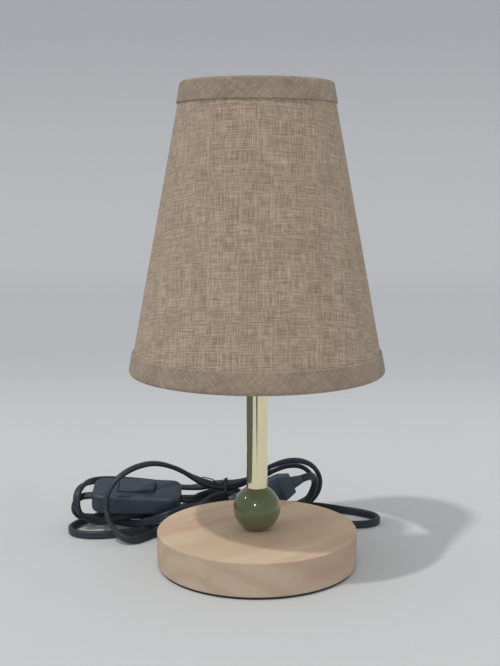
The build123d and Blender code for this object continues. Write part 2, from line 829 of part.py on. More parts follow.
# Plug: moulded body in its own frame, with Z towards the blades and Y up
plug_axis = Vector(*plug_direction).normalized()
plug_side = Vector(0, 0, 1).cross(plug_axis).normalized()
plug_frame = Plane(origin=plug_end, x_dir=plug_side, z_dir=plug_axis)
forward = Axis(plug_frame.origin, plug_frame.z_dir)
blade_spots = [(0, -blade_spacing / 2), (0, blade_spacing / 2)]
with BuildPart() as plug_body:
    with BuildSketch(plug_frame):
        RectangleRounded(plug_neck_width, plug_neck_tall, plug_corner)
    with BuildSketch(plug_frame.offset(plug_taper)):
        RectangleRounded(plug_width, plug_tall, plug_corner)
    loft()
    with BuildSketch(plug_frame.offset(plug_taper)):
        RectangleRounded(plug_width, plug_tall, plug_corner)
    extrude(amount=plug_length - plug_taper)
    fillet(plug_body.faces().sort_by(forward)[-1].edges(), radius=plug_edge)
    for row in range(grip_count):
        station = plug_taper + 2.0 + row * grip_pitch
        for side in (-1, 1):
            grip = plug_frame.offset(station)
            with BuildSketch(grip):
                with Locations((side * plug_width / 2, 0)):
                    Rectangle(2 * grip_depth, plug_tall - 2 * plug_corner)
            extrude(amount=grip_width, mode=Mode.SUBTRACT)
    with BuildSketch(plug_frame.offset(plug_length)):
        with Locations(*blade_spots):
            Rectangle(blade_width + slip, blade_thickness + slip)
    extrude(amount=-blade_socket, mode=Mode.SUBTRACT)

blades = []
for spot in blade_spots:
    with BuildPart() as blade:
        with BuildSketch(plug_frame.offset(plug_length - blade_socket + seat_play)):
            with Locations(spot):
                Rectangle(blade_width, blade_thickness)
        extrude(amount=blade_socket + blade_length - seat_play)
        tip_corners = blade.faces().sort_by(forward)[-1].edges().group_by(Edge.length.fget)[0]
        chamfer(tip_corners, length=blade_thickness / 2)
        hole_plane = Plane(
            origin=plug_frame.from_local_coords((0, 0, plug_length + blade_length - blade_hole_back)),
            x_dir=plug_axis,
            z_dir=plug_frame.y_dir,
        )
        with BuildSketch(hole_plane):
            Circle(blade_hole / 2)
        extrude(amount=plug_tall, both=True, mode=Mode.SUBTRACT)
    blades.append(blade)

with BuildPart() as plug_relief:
    with BuildSketch(plug_frame):
        Circle(relief_wide / 2)
    with BuildSketch(plug_frame.offset(-relief_length)):
        Circle(relief_narrow / 2)
    loft()

# Cord's route, in points from the foot to the hank, round the hank, and on to switch and plug
left_x = waist_x - waist_half
right_x = waist_x + waist_half


def strand(column, row):
    """Place of one strand in the waist, across the cord."""
    return (strand_y + column * strand_step, strand_z - row * row_step)


top_near = strand(-0.5, -1)
top_far = strand(0.5, -1)
mid_near = strand(-1, 0)
mid_core = strand(0, 0)
mid_far = strand(1, 0)
low_near = strand(-0.5, 1)
low_far = strand(0.5, 1)

lead_route = [
    (exit_radius * exit_x, exit_radius * exit_y, cord_exit_height),
    ((exit_radius + 7.2) * exit_x, (exit_radius + 7.2) * exit_y, cord_exit_height),
    (-60.0, 47.8, 4.9), (-66.5, 46.0, 3.0), (-71.0, 40.0, 2.6), (-75.5, 33.5, 2.6),
    (-82.5, 31.0, 3.4), (-89.5, 33.5, 7.0), (-94.5, 37.3, 13.5), (-97.0, 41.0, 22.5), (-95.5, 44.0, 32.0),
    (-89.0, 48.5, 39.8), (-79.5, 54.0, 44.6), (-67.0, 61.5, 45.8), (-53.0, 70.0, 39.5), (-40.0, 77.5, 29.0),
    (left_x, *top_near), (waist_x, *top_near),
]
first_arch = [
    (-3.5, 85.0, 28.2), (8.5, 88.5, 35.8), (24.5, 91.5, 39.9), (38.0, 95.0, 35.8), (44.5, 98.0, 24.5),
    (41.5, 98.5, 11.5), (29.5, 97.0, 4.6), (15.0, 92.0, 3.6), (2.5, 85.7, 8.2),
]
left_low_loop = [
    (-42.0, 75.0, 5.4), (-58.0, 61.5, 2.6), (-78.0, 50.0, 2.6), (-99.0, 42.0, 2.6), (-115.5, 43.5, 2.6),
    (-123.5, 54.0, 2.6), (-119.8, 66.5, 2.6), (-110.0, 71.8, 4.4), (-99.0, 74.3, 8.6), (-86.0, 76.5, 8.4),
    (-70.0, 80.0, 5.0), (-53.0, 86.5, 5.5), (-40.0, 91.0, 13.0),
]
right_low_loop = [
    (-7.0, 95.0, 11.0), (4.0, 102.5, 3.6), (20.0, 109.0, 2.6), (40.0, 106.0, 2.6), (58.0, 97.0, 2.6),
    (73.0, 89.0, 2.6), (81.5, 81.0, 2.6), (81.5, 70.5, 2.6), (72.5, 64.0, 2.6), (57.0, 63.5, 2.6),
    (38.0, 66.0, 2.6), (20.0, 71.0, 2.6), (5.0, 81.5, 2.6), (-5.5, 90.3, 5.4),
]
left_high_loop = [
    (-39.0, 85.5, 7.5), (-53.0, 77.5, 3.4), (-67.0, 70.5, 6.0), (-80.0, 65.8, 8.8), (-92.5, 66.0, 7.6),
    (-104.0, 64.5, 4.4), (-112.0, 61.0, 7.2), (-117.5, 58.5, 13.0), (-118.6, 57.8, 20.6), (-118.0, 62.5, 26.8),
    (-113.8, 74.2, 29.0), (-104.0, 84.2, 27.6), (-86.0, 86.6, 26.2), (-67.0, 87.6, 23.8), (-46.0, 88.6, 19.8),
]
second_arch = [
    (-3.5, 90.8, 25.6), (8.5, 95.0, 29.2), (21.0, 99.5, 33.6), (33.0, 102.5, 31.8), (40.5, 104.0, 21.8),
    (38.5, 104.0, 10.0), (26.5, 102.0, 2.8), (11.0, 96.6, 2.8), (-1.5, 90.3, 10.3),
]

# Each loop leaves the waist by one strand and comes back by the next, the sides taking turns
hank_route = [(waist_x, *top_near)]
side = 1
for leaving, loop in (
    (top_near, first_arch),
    (low_near, left_low_loop),
    (mid_far, right_low_loop),
    (low_far, left_high_loop),
    (top_far, second_arch),
):
    if len(hank_route) > 1:
        hank_route.append((waist_x - side * waist_half, *leaving))
    hank_route.append((waist_x + side * waist_half, *leaving))
    hank_route.extend(loop)
    side = -side
hank_route.append((right_x, *mid_core))
hank_route.append((waist_x, *mid_core))

switch_right = parting.from_local_coords((switch_length / 2, 0, 0))
switch_left = parting.from_local_coords((-switch_length / 2, 0, 0))
switch_right_lead = parting.from_local_coords((switch_length / 2 + 6, 0, 0))
switch_left_lead = parting.from_local_coords((-switch_length / 2 - 6, 0, 0))
to_switch_route = [
    (waist_x, *mid_core), (left_x, *mid_core), (-35.2, 83.6, 17.6), (-39.8, 78.0, 17.4), (-41.0, 71.0, 18.4),
    tuple(switch_right_lead), tuple(switch_right),
]
relief_tip = plug_frame.from_local_coords((0, 0, -relief_length))
relief_lead = plug_frame.from_local_coords((0, 0, -relief_length - 5))
to_plug_route = [
    tuple(switch_left), tuple(switch_left_lead), (-120.5, 67.2, 18.2), (-123.6, 72.0, 10.6),
    (-119.5, 76.5, 3.9), (-110.0, 79.0, 2.6), (-99.0, 75.5, 2.6), (-87.0, 67.0, 2.6), (-77.0, 57.0, 5.4),
    (-67.5, 48.5, 10.5), (-56.0, 45.6, 15.6), (-45.0, 56.5, 17.0), (-35.6, 70.6, 14.6),
    (left_x, *mid_near), (right_x, *mid_near),
    (-4.5, 80.6, 13.4), (6.5, 81.2, 8.4), (18.0, 84.0, 4.8), (28.0, 87.0, 6.8), (35.2, 87.6, 12.8),
    (38.6, 85.7, 20.5), (39.6, 81.8, 27.5), (38.6, 76.8, 32.0), tuple(relief_lead), tuple(relief_tip),
]

cords = {}
for name, route in (
    ("cord_lead", lead_route),
    ("cord_hank", hank_route),
    ("cord_to_switch", to_switch_route),
    ("cord_to_plug", to_plug_route),
):
    corner_radii = bend_radii(route)
    with BuildPart() as cord:
        with BuildLine() as cord_path:
            FilletPolyline(*route, radius=corner_radii)
        cord_wire = cord_path.wire()
        with BuildSketch(square_to(cord_wire)):
            Circle(cord_diameter / 2)
        sweep()
    cords[name] = cord
    section_area = pi * cord_diameter**2 / 4
    print(name, "bend radii", [round(value, 1) for value in corner_radii])
    print(name, "length", round(cord_wire.length, 1), "volume over section times length",
          round(cord.part.volume / (section_area * cord_wire.length), 4))
    if name == "cord_hank":
        steps = int(cord_wire.length / 1.5)
        stations = [cord_wire @ (step / steps) for step in range(steps + 1)]
        apart = int(10 * cord_diameter / 3 / 1.5)
        least = min(
            (stations[i] - stations[j]).length
            for i in range(0, steps - apart)
            for j in range(i + apart, steps + 1)
        )
        print(name, "least gap to itself", round(least - cord_diameter, 2))

# Wire tie: a band round the seven strands with its twisted ends on top
outer_strands = [top_near, top_far, mid_far, low_far, low_near, mid_near]
band_inner = cord_diameter / 2 + tie_gap
tie_plane = Plane(origin=(waist_x, 0, 0), x_dir=(0, 1, 0), z_dir=(1, 0, 0))
twist_base = (waist_x, strand_y - strand_step / 2, strand_z + row_step + band_inner)
twist_plane = Plane(origin=twist_base, z_dir=(0.25, -0.2, 1))
tail_plane = Plane(origin=twist_plane.offset(tie_twist_length - tie_tail_diameter).origin, z_dir=(-1, -0.1, 0.28))
with BuildPart() as twist_tie:
    with BuildSketch(tie_plane):
        Polygon(*outer_strands, align=None)
        offset(amount=band_inner + tie_thickness, kind=Kind.ARC)
    extrude(amount=tie_width / 2, both=True)
    with BuildSketch(tie_plane):
        Polygon(*outer_strands, align=None)
        offset(amount=band_inner, kind=Kind.ARC)
    extrude(amount=tie_width, both=True, mode=Mode.SUBTRACT)
    with BuildSketch(twist_plane.offset(tie_gap)):
        Circle(tie_twist_diameter / 2)
    extrude(amount=tie_twist_length)
    with BuildSketch(tail_plane):
        Circle(tie_tail_diameter / 2)
    extrude(amount=tie_tail_length)

pieces = {
    "base_disc": base_disc,
    "base_pad": base_pad,
    "ball": ball,
    "stem_tube": stem_tube,
    "threaded_rod": threaded_rod,
    "base_washer": base_washer,
    "base_nut": base_nut,
    "cord_grommet": cord_grommet,
    "cord_inner": cord_inner,
    "wire_left": wires[0],
    "wire_right": wires[1],
    "holder_cap": holder_cap,
    "holder_grub_screw": holder_grub_screw,
    "holder_shell": holder_shell,
    "holder_core": holder_core,
    "terminal_left": terminals[0],
    "terminal_right": terminals[1],
    "side_contact": side_contact,
    "centre_contact": centre_contact,
    "screw_shell": screw_shell,
    "shade_ring_nut": shade_ring_nut,
    "bulb_tip": bulb_tip,
    "bulb_cap": bulb_cap,
    "bulb_housing": bulb_housing,
    "bulb_globe": bulb_globe,
    "fitter_ring": fitter_ring,
    "carrier_arm_1": arms[0],
    "carrier_arm_2": arms[1],
    "carrier_arm_3": arms[2],
    "bottom_ring": rings[0],
    "top_ring": rings[1],
    "shade_liner": shade_liner,
    "shade_cover": shade_cover,
    "bottom_trim": trims[0],
    "top_trim": trims[1],
    "switch_base": switch_base,
    "switch_cover": switch_cover,
    "switch_rocker": switch_rocker,
    "switch_moving_contact": switch_moving_contact,
    "switch_contact_left": switch_contact_left,
    "switch_contact_right": switch_contact_right,
    "switch_through_strip": switch_through_strip,
    "switch_screw_left": case_screws[0],
    "switch_screw_right": case_screws[1],
    "plug_body": plug_body,
    "plug_blade_low": blades[0],
    "plug_blade_high": blades[1],
    "plug_relief": plug_relief,
    "twist_tie": twist_tie,
    **cords,
}

os.makedirs("parts", exist_ok=True)
for name, piece in pieces.items():
    piece.part.label = name
    export_step(piece.part, f"parts/{name}.step")
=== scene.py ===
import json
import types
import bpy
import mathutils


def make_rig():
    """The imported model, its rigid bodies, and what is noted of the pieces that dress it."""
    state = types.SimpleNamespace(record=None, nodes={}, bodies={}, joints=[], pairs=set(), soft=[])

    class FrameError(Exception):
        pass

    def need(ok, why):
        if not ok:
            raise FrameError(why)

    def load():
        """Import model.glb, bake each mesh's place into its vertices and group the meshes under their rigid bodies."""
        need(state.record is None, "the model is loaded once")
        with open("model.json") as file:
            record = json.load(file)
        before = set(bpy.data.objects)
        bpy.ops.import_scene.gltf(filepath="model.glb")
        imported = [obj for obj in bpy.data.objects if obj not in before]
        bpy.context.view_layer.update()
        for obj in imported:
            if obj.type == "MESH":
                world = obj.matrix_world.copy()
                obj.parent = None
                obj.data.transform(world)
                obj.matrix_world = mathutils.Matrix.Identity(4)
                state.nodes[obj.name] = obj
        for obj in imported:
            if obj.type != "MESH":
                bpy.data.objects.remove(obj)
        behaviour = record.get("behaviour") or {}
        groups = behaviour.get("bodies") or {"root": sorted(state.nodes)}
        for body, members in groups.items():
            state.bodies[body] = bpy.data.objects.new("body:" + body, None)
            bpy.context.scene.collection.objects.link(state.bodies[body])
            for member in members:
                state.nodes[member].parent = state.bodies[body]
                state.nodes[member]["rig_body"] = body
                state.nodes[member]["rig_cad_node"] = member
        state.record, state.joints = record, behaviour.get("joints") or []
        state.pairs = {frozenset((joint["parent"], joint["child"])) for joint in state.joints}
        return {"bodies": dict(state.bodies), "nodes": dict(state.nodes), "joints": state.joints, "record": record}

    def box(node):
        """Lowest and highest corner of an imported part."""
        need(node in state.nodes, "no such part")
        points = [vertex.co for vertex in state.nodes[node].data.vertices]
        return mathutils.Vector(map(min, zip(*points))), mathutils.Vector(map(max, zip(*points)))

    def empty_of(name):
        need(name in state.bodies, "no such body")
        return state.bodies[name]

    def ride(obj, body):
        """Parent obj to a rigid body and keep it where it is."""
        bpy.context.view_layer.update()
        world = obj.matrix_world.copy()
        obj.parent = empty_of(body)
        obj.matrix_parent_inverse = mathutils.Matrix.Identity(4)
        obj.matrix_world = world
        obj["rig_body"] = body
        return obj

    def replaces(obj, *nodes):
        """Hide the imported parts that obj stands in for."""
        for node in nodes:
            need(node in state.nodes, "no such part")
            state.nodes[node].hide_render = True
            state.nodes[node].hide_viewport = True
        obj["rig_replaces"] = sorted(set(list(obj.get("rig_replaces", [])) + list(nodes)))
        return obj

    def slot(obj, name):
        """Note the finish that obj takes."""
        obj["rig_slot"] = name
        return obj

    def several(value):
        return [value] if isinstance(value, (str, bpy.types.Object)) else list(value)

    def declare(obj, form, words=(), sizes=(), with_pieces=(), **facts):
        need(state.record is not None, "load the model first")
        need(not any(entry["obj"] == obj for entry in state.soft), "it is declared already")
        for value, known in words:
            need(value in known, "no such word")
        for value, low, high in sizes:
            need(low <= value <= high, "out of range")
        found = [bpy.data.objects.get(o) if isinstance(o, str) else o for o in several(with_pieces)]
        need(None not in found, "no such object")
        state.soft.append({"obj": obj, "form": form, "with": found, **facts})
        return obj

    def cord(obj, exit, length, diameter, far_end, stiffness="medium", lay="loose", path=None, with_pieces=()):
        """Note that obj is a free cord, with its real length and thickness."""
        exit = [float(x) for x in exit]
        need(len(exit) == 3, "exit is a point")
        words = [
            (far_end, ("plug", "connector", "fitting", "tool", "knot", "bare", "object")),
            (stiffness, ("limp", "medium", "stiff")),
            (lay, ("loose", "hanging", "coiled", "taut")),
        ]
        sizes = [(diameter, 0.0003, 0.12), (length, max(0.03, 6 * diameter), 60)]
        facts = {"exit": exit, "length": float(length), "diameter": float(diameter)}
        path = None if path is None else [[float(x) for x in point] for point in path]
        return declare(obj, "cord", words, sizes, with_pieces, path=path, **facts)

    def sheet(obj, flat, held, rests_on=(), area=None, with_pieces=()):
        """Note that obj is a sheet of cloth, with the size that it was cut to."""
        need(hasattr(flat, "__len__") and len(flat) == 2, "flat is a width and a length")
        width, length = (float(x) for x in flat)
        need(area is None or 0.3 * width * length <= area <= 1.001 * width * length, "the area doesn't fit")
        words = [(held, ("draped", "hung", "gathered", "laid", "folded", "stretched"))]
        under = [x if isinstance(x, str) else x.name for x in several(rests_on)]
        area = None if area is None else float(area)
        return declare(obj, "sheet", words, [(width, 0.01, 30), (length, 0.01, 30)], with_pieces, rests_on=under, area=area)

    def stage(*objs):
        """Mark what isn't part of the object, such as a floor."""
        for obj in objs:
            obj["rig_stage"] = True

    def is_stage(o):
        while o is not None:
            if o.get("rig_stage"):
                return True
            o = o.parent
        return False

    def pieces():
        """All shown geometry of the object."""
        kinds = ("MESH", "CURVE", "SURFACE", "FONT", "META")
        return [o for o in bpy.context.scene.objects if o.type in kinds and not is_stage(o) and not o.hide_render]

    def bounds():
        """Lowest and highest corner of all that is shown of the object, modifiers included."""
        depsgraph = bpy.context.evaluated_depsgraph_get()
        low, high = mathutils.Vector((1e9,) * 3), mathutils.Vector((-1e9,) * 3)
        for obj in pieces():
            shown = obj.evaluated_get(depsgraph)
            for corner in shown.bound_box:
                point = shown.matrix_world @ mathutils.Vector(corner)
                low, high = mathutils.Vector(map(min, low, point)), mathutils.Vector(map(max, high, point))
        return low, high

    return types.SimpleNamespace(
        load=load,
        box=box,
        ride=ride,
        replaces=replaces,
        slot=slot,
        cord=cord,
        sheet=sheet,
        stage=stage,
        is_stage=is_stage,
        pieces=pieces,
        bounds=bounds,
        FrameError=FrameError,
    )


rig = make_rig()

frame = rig.load()

import json
import math

import bpy
from bpy.props import FloatProperty, FloatVectorProperty, IntProperty, PointerProperty
from mathutils import Vector

bl_info = {
    "name": "Night light dresser",
    "version": (1, 0, 0),
    "blender": (4, 5, 0),
    "location": "View3D > Sidebar > Night light",
    "description": "Cloth, wood, metal and cord of a small table lamp, with its stage",
    "category": "Object",
}

cad_low, cad_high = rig.bounds()
mm = 0.001


def tone(red, green, blue):
    """Colour as a screen shows it, 0 to 255, in the linear values that Blender takes."""
    linear = []
    for part in (red, green, blue):
        share = part / 255
        linear.append(share / 12.92 if share <= 0.04045 else ((share + 0.055) / 1.055) ** 2.4)
    return tuple(linear)


def colour_setting(name, description, default):
    """Colour that a user may change."""
    return FloatVectorProperty(
        name=name, description=description, default=default, size=3, min=0, max=1, subtype="COLOR")


def length_setting(name, description, default):
    """Length that a user may change."""
    return FloatProperty(
        name=name, description=description, default=default,
        min=0, subtype="DISTANCE", unit="LENGTH", precision=5)


def strength_setting(name, description, default):
    """Strength of a light that a user may change."""
    return FloatProperty(name=name, description=description, default=default, min=0)


class FootSettings(bpy.types.PropertyGroup):
    """Wooden foot and the painted ball on it."""

    wood_pale: colour_setting("Pale wood", "Wood between the rings", tone(224, 202, 175))
    wood_dark: colour_setting("Dark wood", "Wood in the late rings", tone(202, 172, 145))
    wood_flush: colour_setting("Flushed wood", "Warm patches in the wood", tone(211, 170, 145))
    grain_turn: FloatProperty(
        name="Grain turn", description="Way the grain runs, from the X axis",
        default=math.radians(42), subtype="ANGLE")
    ring_step: length_setting("Ring step", "Distance between the wood's rings", 0.0135)
    pad: colour_setting("Pad", "Foot's pad", tone(44, 44, 48))
    paint: colour_setting("Paint", "Ball's paint", tone(97, 107, 71))
    ball_radius: length_setting("Ball radius", "Radius of the ball", 0.0142)
    ball_flat: length_setting("Ball flat", "Radius of the flats above and below the ball", 0.006)
    ball_bore: length_setting("Ball bore", "Radius of the hole for the rod", 0.0051)


class StemSettings(bpy.types.PropertyGroup):
    """Polished tube."""

    gold: colour_setting("Gold", "Polished tube", (0.95, 0.855, 0.59))
    radius: length_setting("Radius", "Outer radius of the tube", 0.00635)
    wall: length_setting("Wall", "Thickness of the tube's wall", 0.001)


class ShadeSettings(bpy.types.PropertyGroup):
    """Tapered linen shade."""

    bottom_radius: length_setting("Bottom radius", "Radius of the side's lower end", 0.0755)
    bottom_height: length_setting("Bottom height", "Height of the side's lower end", 0.1181)
    top_radius: length_setting("Top radius", "Radius of the side's upper end", 0.0438)
    top_height: length_setting("Top height", "Height of the side's upper end", 0.285)
    cloth: length_setting("Cloth", "Thickness of the linen", 0.0008)
    fold_gap: length_setting("Fold gap", "Gap between layers", 0.00015)
    trim_width: length_setting("Trim width", "Width of the trims", 0.0125)
    wire: length_setting("Wire", "Thickness of the wire rings", 0.0024)
    thread_step: length_setting("Thread step", "Distance between threads", 0.00062)
    linen_pale: colour_setting("Pale linen", "Pale yarn", tone(221, 201, 175))
    linen_dark: colour_setting("Dark linen", "Dark yarn", tone(142, 123, 107))
    trim_pale: colour_setting("Pale trim", "Pale yarn of the trims", tone(190, 173, 153))
    trim_dark: colour_setting("Dark trim", "Dark yarn of the trims", tone(137, 122, 107))
    liner: colour_setting("Liner", "Stiff film inside the shade", tone(238, 234, 224))
    steps_round: IntProperty(name="Steps round", description="Facets round the shade", default=192, min=24)


class CordSettings(bpy.types.PropertyGroup):
    """Flat twin cord with its switch, plug and tie."""

    lobe_radius: length_setting("Lobe radius", "Radius of each half of the flat cord", 0.00155)
    lobe_offset: length_setting("Lobe offset", "Distance from the middle to each half's middle", 0.00105)
    groove: length_setting("Groove", "Half thickness in the groove between the halves", 0.00122)
    cover: colour_setting("Cover", "Cord's outer cover", tone(38, 48, 58))
    shell: colour_setting("Shell", "Switch's moulded shell", tone(50, 64, 79))
    plug: colour_setting("Plug", "Plug's moulding", tone(56, 72, 86))
    tie: colour_setting("Tie", "Coated tie", tone(40, 44, 54))


class StageSettings(bpy.types.PropertyGroup):
    """Floor, lights and camera."""

    floor: colour_setting("Floor", "Pale floor and backdrop", tone(209, 213, 215))
    key_strength: strength_setting("Key strength", "Strength of the main light", 0.95)
    sky_strength: strength_setting("Sky strength", "Even light from all round", 0.73)
    lens: FloatProperty(
        name="Lens", description="Focal length for a 36 mm long side", default=58.82, unit="CAMERA")


class NightLightSettings(bpy.types.PropertyGroup):
    """All settings of the lamp."""

    foot: PointerProperty(type=FootSettings, name="Foot", description="Foot and ball")
    stem: PointerProperty(type=StemSettings, name="Stem", description="Tube")
    shade: PointerProperty(type=ShadeSettings, name="Shade", description="Shade")
    cord: PointerProperty(type=CordSettings, name="Cord", description="Cord and what is on it")
    stage: PointerProperty(type=StageSettings, name="Stage", description="Floor, lights and camera")


# Helpers for modelling


def clamped(value):
    """Value kept from 0 to 1."""
    return max(0.0, min(1.0, value))


def put_down():
    """Leaves edit mode and deselects everything."""
    if bpy.context.object and bpy.context.object.mode != "OBJECT":
        bpy.ops.object.mode_set(mode="OBJECT")
    bpy.ops.object.select_all(action="DESELECT")


def pick_up(piece):
    """Selects one piece alone and makes it the active one."""
    put_down()
    piece.select_set(True)
    bpy.context.view_layer.objects.active = piece


def settle(piece, name):
    """Names a piece and moves its place, turn and size into its mesh."""
    pick_up(piece)
    bpy.ops.object.transform_apply(location=True, rotation=True, scale=True)
    piece.name = name
    piece.data.name = name
    return piece


def tidy_faces(piece):
    """Merges doubled points and points all faces outwards."""
    pick_up(piece)
    bpy.ops.object.mode_set(mode="EDIT")
    bpy.ops.mesh.select_all(action="SELECT")
    bpy.ops.mesh.remove_doubles(threshold=1e-6)
    bpy.ops.mesh.normals_make_consistent(inside=False)
    bpy.ops.object.mode_set(mode="OBJECT")


def smooth(piece, angle=35):
    """Smooth shading, with edges sharper than the angle left crisp."""
    pick_up(piece)
    bpy.ops.object.shade_smooth_by_angle(angle=math.radians(angle))


def turned(name, profile, steps=96):
    """Turns a closed profile of (radius, height) about Z: a ring is drawn and resized from point to point."""
    put_down()
    radius, height = profile[0]
    bpy.ops.mesh.primitive_circle_add(vertices=steps, radius=radius, location=(0, 0, height))
    piece = settle(bpy.context.object, name)
    bpy.ops.object.mode_set(mode="EDIT")
    bpy.ops.mesh.select_all(action="SELECT")
    for next_radius, next_height in (*profile[1:], profile[0]):
        bpy.ops.mesh.extrude_edges_move(TRANSFORM_OT_translate={"value": (0, 0, next_height - height)})
        ratio = next_radius / radius
        bpy.ops.transform.resize(value=(ratio, ratio, 1), center_override=(0, 0, next_height))
        radius, height = next_radius, next_height
    bpy.ops.object.mode_set(mode="OBJECT")
    tidy_faces(piece)
    return piece


def arc(centre_radius, centre_height, radius, start, end, count):
    """Points of an arc in radius and height, angles in degrees from outwards."""
    points = []
    for step in range(count + 1):
        angle = math.radians(start + (end - start) * step / count)
        points.append((centre_radius + radius * math.cos(angle), centre_height + radius * math.sin(angle)))
    return points


def in_metres(profile):
    """Profile given in millimetres, in metres."""
    return [(radius * mm, height * mm) for radius, height in profile]


def unroll(piece, place):
    """Gives a piece a flat map: place(point, turn) is a point's flat place, with its turn from the front."""
    flat = piece.data.uv_layers.new(name="flat")
    for face in piece.data.polygons:
        side = math.atan2(face.center.x, -face.center.y)
        for corner in face.loop_indices:
            point = piece.data.vertices[piece.data.loops[corner].vertex_index].co
            turn = math.atan2(point.x, -point.y)
            if turn - side > math.pi:
                turn -= 2 * math.pi
            elif side - turn > math.pi:
                turn += 2 * math.pi
            flat.data[corner].uv = place(point, turn)


def dress(finish, *names):
    """Puts a finish on CAD nodes whose shape is right."""
    for name in names:
        for slot in frame["nodes"][name].material_slots:
            slot.material = finish


def stand_for(piece, finish, slot, body, *nodes):
    """Gives a new piece its finish, body and slot, and hides the CAD nodes that it stands for."""
    piece.data.materials.clear()
    piece.data.materials.append(finish)
    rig.ride(piece, body)
    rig.slot(piece, slot)
    if nodes:
        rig.replaces(piece, *nodes)
    return piece


# Helpers for finishes


def begin_finish(name, **surface_values):
    """New material with its surface shader."""
    finish = bpy.data.materials.new(name)
    finish.use_nodes = True
    tree = finish.node_tree
    tree.nodes.clear()
    surface = tree.nodes.new("ShaderNodeBsdfPrincipled")
    output = tree.nodes.new("ShaderNodeOutputMaterial")
    tree.links.new(surface.outputs["BSDF"], output.inputs["Surface"])
    for key, value in surface_values.items():
        surface.inputs[key.replace("_", " ")].default_value = value
    return finish, tree, surface


def add(tree, kind, inputs=None, **values):
    """Adds a node; an input is a value or another node's socket."""
    node = tree.nodes.new("ShaderNode" + kind)
    for key, value in values.items():
        setattr(node, key, value)
    for key, value in (inputs or {}).items():
        if isinstance(value, bpy.types.NodeSocket):
            tree.links.new(value, node.inputs[key])
        else:
            node.inputs[key].default_value = value
    return node


def tree_of(*values):
    """Node tree of the first socket among the values."""
    return next(value.id_data for value in values if isinstance(value, bpy.types.NodeSocket))


def maths(operation, *values):
    """Maths on numbers or sockets."""
    return add(tree_of(*values), "Math", dict(enumerate(values)), operation=operation).outputs[0]


def object_place(tree, turn=(0, 0, 0), size=(1, 1, 1), shift=(0, 0, 0)):
    """Place on the piece, in metres, turned and sized."""
    return stretch(add(tree, "TexCoord").outputs["Object"], turn, size, shift)


def stretch(place, turn=(0, 0, 0), size=(1, 1, 1), shift=(0, 0, 0)):
    """Turned, sized and shifted place."""
    inputs = {"Vector": place, "Rotation": turn, "Scale": size, "Location": shift}
    return add(tree_of(place), "Mapping", inputs).outputs["Vector"]


def cloud(place, scale=1.0, detail=2.0, roughness=0.5):
    """Soft random pattern."""
    inputs = {"Vector": place, "Scale": scale, "Detail": detail, "Roughness": roughness}
    return add(tree_of(place), "TexNoise", inputs).outputs[0]


def blend_colours(share, first, second, kind="MIX"):
    """Mixes two colours or sockets."""
    tree = tree_of(share, first, second)
    first = first if isinstance(first, bpy.types.NodeSocket) else (*first, 1)
    second = second if isinstance(second, bpy.types.NodeSocket) else (*second, 1)
    node = add(tree, "Mix", {0: share, 6: first, 7: second}, data_type="RGBA", blend_type=kind)
    return node.outputs[2]


def ramp(value, low, high, bottom=0.0, top=1.0):
    """Carries a value from one range to another, smoothly and within it."""
    inputs = {"Value": value, "From Min": low, "From Max": high, "To Min": bottom, "To Max": top}
    return add(tree_of(value), "MapRange", inputs, interpolation_type="SMOOTHSTEP").outputs[0]


def cover_surface(surface, colour, roughness=None):
    """Gives the surface its colour, and its roughness where that varies."""
    tree = surface.id_data
    tree.links.new(colour, surface.inputs["Base Color"])
    if roughness is not None:
        tree.links.new(roughness, surface.inputs["Roughness"])


def raise_surface(surface, height, distance, strength=1.0):
    """Fine relief on the surface."""
    tree = surface.id_data
    inputs = {"Height": height, "Distance": distance, "Strength": strength}
    tree.links.new(add(tree, "Bump", inputs).outputs["Normal"], surface.inputs["Normal"])


def wood_finish(settings):
    """Pale turned wood: wide soft rings, fine fibres along the grain and warm patches, with painted shade on the
    foot's upright side.
    """
    finish, tree, surface = begin_finish("pale_wood", Specular_IOR_Level=0.3)
    along = object_place(tree, turn=(0, 0, -settings.grain_turn))
    waver = cloud(stretch(along, size=(11, 30, 30)))
    axes = add(tree, "SeparateXYZ", {"Vector": along})
    across = maths("ADD", axes.outputs["Y"], 0.011)
    depth = maths("ADD", axes.outputs["Z"], 0.030)
    distance = maths("SQRT", maths("ADD", maths("MULTIPLY", across, across), maths("MULTIPLY", depth, depth)))
    wandering = maths("ADD", distance, maths("MULTIPLY", waver, 0.012))
    turns = maths("MULTIPLY", wandering, 2 * math.pi / settings.ring_step)
    rings = ramp(maths("SINE", turns), -0.2, 1.0)
    fibres = cloud(stretch(along, size=(60, 1100, 1100)), detail=3, roughness=0.6)
    pores = cloud(stretch(along, size=(160, 2600, 2600)), detail=1)
    patches = cloud(stretch(along, size=(16, 42, 42), shift=(0.3, 0.1, 0)))
    ringed = blend_colours(maths("MULTIPLY", rings, 0.42), settings.wood_pale, settings.wood_dark)
    flush = maths("MULTIPLY", ramp(patches, 0.42, 0.72), 0.55)
    flushed = blend_colours(flush, ringed, settings.wood_flush)
    streaked = blend_colours(ramp(fibres, 0.35, 0.75, 0.0, 0.22), flushed, settings.wood_dark)
    pored = blend_colours(ramp(pores, 0.66, 0.78, 0.0, 0.25), streaked, tone(160, 128, 102))
    # Painted shade: past 59.2 mm from the axis the foot's upright side is darkened a little, standing in for the
    # weaker light that reaches it.
    side_shade_start, side_shade_end = 0.0592, 0.0599
    flat = object_place(tree, size=(1, 1, 0))
    from_axis = add(tree, "VectorMath", {0: flat}, operation="LENGTH").outputs["Value"]
    edge = ramp(from_axis, side_shade_start, side_shade_end)
    rim = blend_colours(edge, tone(255, 255, 255), tone(224, 224, 228))
    cover_surface(
        surface, blend_colours(1.0, pored, rim, "MULTIPLY"), ramp(fibres, 0.3, 0.7, 0.5, 0.66))
    raise_surface(surface, maths("SUBTRACT", fibres, maths("MULTIPLY", pores, 0.5)), 0.00006)
    return finish


